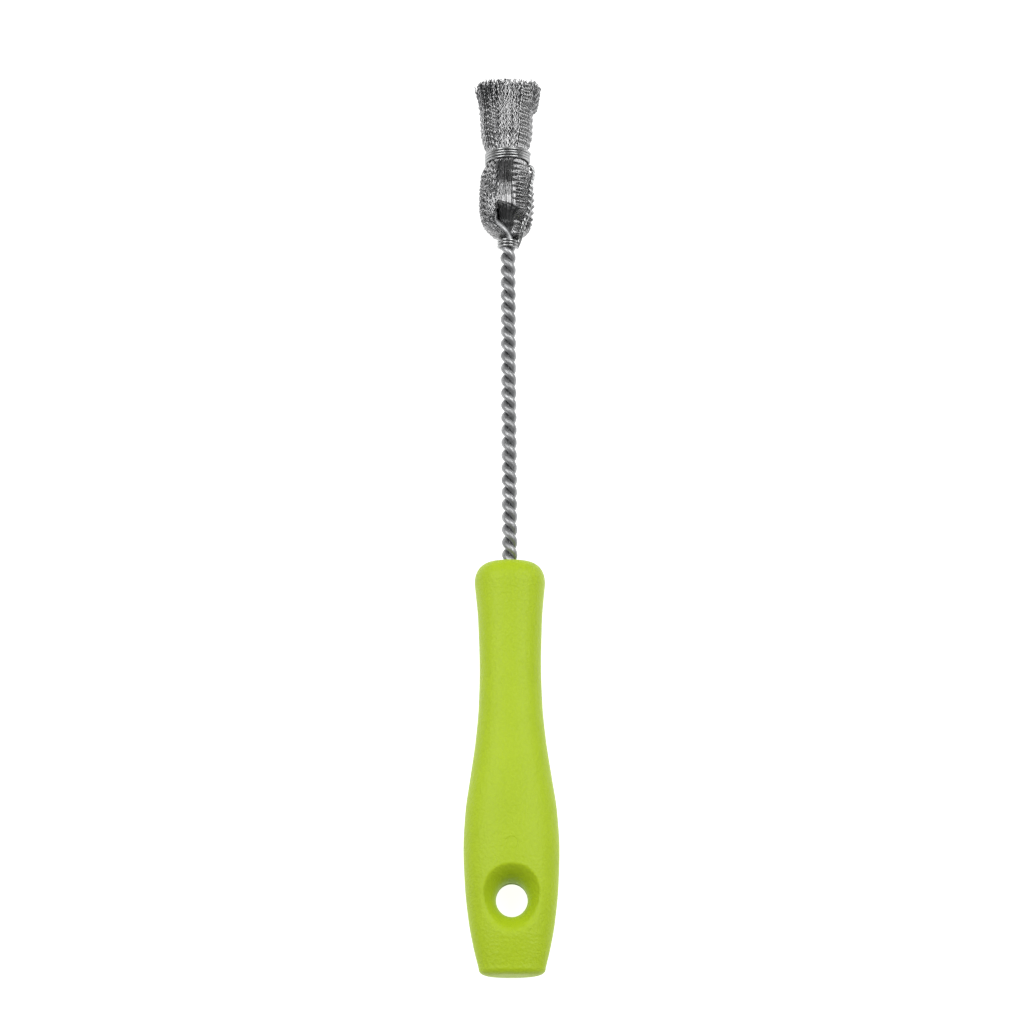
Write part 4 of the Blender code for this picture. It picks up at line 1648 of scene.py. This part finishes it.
    def crimp_moves(
        self, rng: np.random.Generator, strands: Strands, in_step: Array
    ) -> tuple[Array, Array]:
        """Moves that crimp the wires: sines of the length run from the waist.

        Crimps in step are deeper and move the wire outward only. Elsewhere a wire nests loosely in
        its neighbours and has its own plane of crimp. The crimp is nearly drawn straight under the
        band, in front below the waist and in the hollow.

        Args:
            rng: Source of the random numbers.
            strands: The lock's routes.
            in_step: Share by which the crimps lie in step.

        Returns:
            Moves outward and sideways.
        """
        crimp = self.crimp
        wires = len(strands.side)
        along = strands.along
        toward_x = strands.outward[..., 0]
        below = self.below_waist(strands)
        nested = 4.0 * np.sin(7.0 * strands.side + 1.3) + 2.5 * np.sin(17.0 * strands.side)
        phase = (nested + rng.normal(0.0, crimp.phase_spread, wires))[:, None]
        plane = rng.uniform(0.40, 0.60, (wires, 1)) * math.pi
        pitch = crimp.pitch * (1.0 + crimp.pitch_spread * rng.normal(0.0, 1.0, (wires, 1)))
        tall = 1.0 + crimp.depth_spread * rng.normal(0.0, 1.0, (wires, 1))

        facing = np.exp(-(((strands.points[..., 0] + 0.2) / 3.7) ** 4))
        drawn = facing * (strands.outward[..., 2] > 0.0) * below
        drawn = np.maximum(drawn, self.in_hollow(strands))
        amount = tall * (0.6 + 0.4 * smooth_step((along - 2.0) / 6.0))
        amount = amount * (1.0 - 0.75 * self.held(along, 3.0)) * (1.0 - 0.88 * drawn)

        run = self.run_from_waist(strands)
        shift = 0.12 * np.sin(phase) + rng.uniform(0.0, TAU) * (toward_x < 0.0)
        together = np.sin(TAU * run / crimp.pitch + shift)
        alone = np.sin(TAU * run / pitch + phase)
        stacked = crimp.stacked_depth * (0.7 + 0.3 * below) * in_step * together
        on_left = smooth_step((-toward_x - 0.2) / 0.5)
        upright = np.cos(plane) + 0.9 * on_left
        sidelong = np.sin(plane) * (1.0 - 0.3 * on_left)
        radial_move = amount * (stacked + crimp.depth * (1.0 - in_step) * upright * alone)
        side_move = amount * crimp.depth * (1.0 - in_step) * sidelong * alone
        return radial_move, side_move

    def loose_moves(
        self, rng: np.random.Generator, strands: Strands, in_step: Array
    ) -> tuple[Array, Array]:
        """Moves of hand-tied, used bristles: a slow drift, and tips that stray and spring out.

        Args:
            rng: Source of the random numbers.
            strands: The lock's routes.
            in_step: Share by which the crimps lie in step, which lets them drift less.

        Returns:
            Moves outward and sideways.
        """
        wires = len(strands.side)
        along = strands.along
        loose = (1.0 - 0.8 * self.held(along, 3.0)) * smooth_step((along - 4.0) / 8.0)
        loose = loose * (1.0 - 0.85 * in_step)
        radial_move = self.wander(rng, wires, strands.place, 0.08) * loose
        side_move = self.wander(rng, wires, strands.place, 0.22) * loose
        tip = smooth_step((along - 38.0) / 12.5)
        radial_move = radial_move + tip * rng.normal(0.1, self.tip_spread[0], (wires, 1))
        side_move = side_move + tip * rng.normal(0.0, self.tip_spread[1], (wires, 1))
        on_right = smooth_step((strands.outward[..., 0] - 0.5) / 0.3)
        radial_move = radial_move + self.flare * smooth_step((along - 41.5) / 2.0) * on_right
        stray = rng.uniform(0.0, 1.0, (wires, 1)) < self.stray_share
        return radial_move + self.stray_lift * stray * smooth_step((along - 42.0) / 8.0), side_move

    def lock(self, layer: Layer, column: int, material: bpy.types.Material) -> bpy.types.Object:
        """Mesh one lock of wires and let it stand for its node.

        Args:
            layer: The lock's layer.
            column: The lock's column, from 0.
            material: Finish of the wires.

        Returns:
            The lock.
        """
        rng = np.random.default_rng(self.seed + 100 * list(Layer).index(layer) + column)
        strands = self.strands(rng, layer, column)
        wires = len(strands.side)
        tangent = unit(np.gradient(strands.points, axis=1))
        lengthways = np.sum(strands.outward * tangent, axis=-1, keepdims=True)
        radial = unit(strands.outward - lengthways * tangent)
        sideways = np.cross(tangent, radial)

        in_step = self.in_step(strands)
        crimp_out, crimp_side = self.crimp_moves(rng, strands, in_step)
        loose_out, loose_side = self.loose_moves(rng, strands, in_step)
        points = strands.points + (crimp_out + loose_out)[..., None] * radial
        points = points + (crimp_side + loose_side)[..., None] * sideways
        points = self.keep_inside(points, strands.along)

        # Tone: wires dulled by handling at random, plus painted shade on wires buried in the hank and in
        # the hollow beside the eye's front leg.
        by_chance, shade_by_depth, shade_in_hollow = self.tone_and_painted_shade
        buried_shade = smooth_step((0.975 - strands.depth) / 0.1)
        wear_and_shade = by_chance * rng.beta(0.9, 1.3, wires) + shade_by_depth * buried_shade
        wear_and_shade = wear_and_shade[:, None] + shade_in_hollow * self.in_hollow(strands)
        tone = wear_and_shade[:, :, None] * np.ones((1, 1, self.sides))
        wire_radius = self.wire / 2.0 * (1.0 + 0.06 * rng.normal(0.0, 1.0, (wires, 1)))
        mesh_points, faces, uv = sweep(points, sideways, wire_radius, self.sides)
        name = f"bristles_{layer.label}_{column + 1}"
        piece = add_piece(name, mesh_points, faces, material, uv=uv, tone=tone)
        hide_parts(f"bristle_lock_{layer.label}_{column + 1}")
        LOG.info("%s: %d wires", name, wires)
        return piece

    def keep_inside(self, points: Array, along: Array) -> Array:
        """Hold the wires within the space between the front, the back and the tips' plane.

        Args:
            points: Wires by stations by (x, y, z).
            along: Places along from the fold.

        Returns:
            The points, moved in where they had left that space.
        """
        layout = self.hank.layout
        across = np.hypot(points[..., 0], points[..., 2] - layout.axis_z)
        lower = along + 1.0 - smooth_step(along / 6.0)
        room_for_crimp = 0.02 + 0.7 * (1.0 - self.held(along, 2.6)) + 2.0 * (along > 40.0)
        most = self.hank.radius(lower) - self.wire / 2.0 + room_for_crimp
        shrink = np.minimum(1.0, most / np.maximum(across, 1e-6))
        room = layout.axis_z - self.wire / 2.0 - 0.03
        return np.stack([
            points[..., 0] * shrink,
            np.minimum(points[..., 1], layout.tip_y - 0.2),
            layout.axis_z + np.clip((points[..., 2] - layout.axis_z) * shrink, -room, room),
        ], axis=-1)

    def build(self, material: bpy.types.Material) -> list[bpy.types.Object]:
        """Mesh every lock.

        Args:
            material: Finish of the wires.

        Returns:
            The locks, layer by layer.
        """
        return [self.lock(layer, column, material) for layer in Layer for column in range(self.columns)]


# ---------------------------------------------------------------- setting


@dataclass(frozen=True)
class Softbox:
    """A square area light that faces the middle of the brush."""

    name: str
    place: tuple[float, float, float]
    size: tuple[float, float]
    power: float


@dataclass(frozen=True)
class Studio:
    """A pale floor, a softbox on each side of the camera, and a small one overhead for the tie wires."""

    centre: tuple[float, float, float] = (0.0008, 0.0029, 0.0102)
    distance: float = 1.55
    elevation: float = 75.3
    roll: float = -0.35
    focal_length: float = 172.55
    world_strength: float = 0.16
    floor_glow: float = 0.92
    boxes: tuple[Softbox, ...] = (
        Softbox("softbox_left", (-0.76, 0.23, 1.15), (1.05, 0.80), 13.4),
        Softbox("softbox_right", (0.76, 0.23, 1.15), (1.05, 0.80), 13.4),
        Softbox("overhead", (0.03, 0.47, 1.28), (0.26, 0.20), 0.55),
    )

    def build(self) -> None:
        """Place the floor, the lights and the camera."""
        self.add_floor()
        self.add_lights()
        self.add_camera()

    def add_floor(self) -> None:
        """Lay a plain pale floor, lit softly from below like a light table."""
        material = bpy.data.materials.new("pale_floor")
        material.use_nodes = True
        shader = material.node_tree.nodes["Principled BSDF"]
        shader.inputs["Base Color"].default_value = linear("#B4B4B4")
        shader.inputs["Roughness"].default_value = 0.9
        shader.inputs["Emission Color"].default_value = linear("#FFFFFF")
        shader.inputs["Emission Strength"].default_value = self.floor_glow
        reach = 6.0
        mesh = bpy.data.meshes.new("floor")
        mesh.from_pydata(
            [(-reach, -reach, 0.0), (reach, -reach, 0.0), (reach, reach, 0.0), (-reach, reach, 0.0)],
            [], [(0, 1, 2, 3)],
        )
        mesh.materials.append(material)
        floor = bpy.data.objects.new("floor", mesh)
        bpy.context.scene.collection.objects.link(floor)

    def add_lights(self) -> None:
        """Hang the softboxes, and set a dim even world."""
        for box in self.boxes:
            light = bpy.data.lights.new(box.name, "AREA")
            light.shape = "RECTANGLE"
            light.size, light.size_y = box.size
            light.energy = box.power
            lamp = bpy.data.objects.new(box.name, light)
            lamp.location = box.place
            toward = Vector(self.centre) - Vector(box.place)
            lamp.rotation_euler = toward.to_track_quat("-Z", "Y").to_euler()
            bpy.context.scene.collection.objects.link(lamp)
        world = bpy.data.worlds.new("studio")
        world.use_nodes = True
        background = world.node_tree.nodes["Background"]
        background.inputs["Color"].default_value = (1.0, 1.0, 1.0, 1.0)
        background.inputs["Strength"].default_value = self.world_strength
        bpy.context.scene.world = world
        bpy.context.scene.view_settings.view_transform = "Standard"

    def add_camera(self) -> None:
        """Set a long lens above the handle's end, looking down at the middle of the brush."""
        data = bpy.data.cameras.new("camera")
        data.lens = self.focal_length
        data.sensor_width = 36.0
        data.clip_start = 0.05
        data.clip_end = 20.0
        camera = bpy.data.objects.new("camera", data)
        tilt = math.radians(self.elevation)
        centre = Vector(self.centre)
        camera.location = centre + self.distance * Vector((0.0, -math.cos(tilt), math.sin(tilt)))
        look = (centre - camera.location).to_track_quat("-Z", "Y").to_matrix().to_4x4()
        roll = Matrix.Rotation(math.radians(self.roll), 4, "Z")
        camera.matrix_world = Matrix.Translation(camera.location) @ look @ roll
        bpy.context.scene.collection.objects.link(camera)
        bpy.context.scene.camera = camera


# ---------------------------------------------------------------- the brush


@dataclass
class GrillBrush:
    """The whole brush: handle, shaft, two ties and the bristles."""

    layout: Layout = field(default_factory=Layout.from_frame)

    def build(self) -> None:
        """Build and dress every piece."""
        hank = Hank(self.layout)
        plastic = GrainedPolypropylene().build()
        shaft_steel = DrawnWire(name="galvanised_shaft_wire").build()
        tie_steel = DrawnWire(
            name="bright_tie_wire", bright="#B4B5B5", dull="#959696", roughness=0.27,
            lines_around=8.0, line_length_mm=9.0, line_depth_mm=0.0015, patch_mm=2.5,
        ).build()
        bristle_steel = CrimpedBristleWire().build()
        pieces = [
            Handle(self.layout).build(plastic),
            Shaft(hank).build(shaft_steel),
            WaistTie(hank).build(tie_steel),
            BaseTie(hank).build(tie_steel),
            *Bristles(hank).build(bristle_steel),
        ]
        for piece in pieces:
            LOG.info("%s: %d faces", piece.name, len(piece.data.polygons))
        LOG.info("total: %d faces", sum(len(piece.data.polygons) for piece in pieces))


def main() -> None:
    logging.basicConfig(level=logging.INFO, format="%(name)s: %(message)s")
    GrillBrush().build()
    Studio().build()


if __name__ == "__main__":
    main()
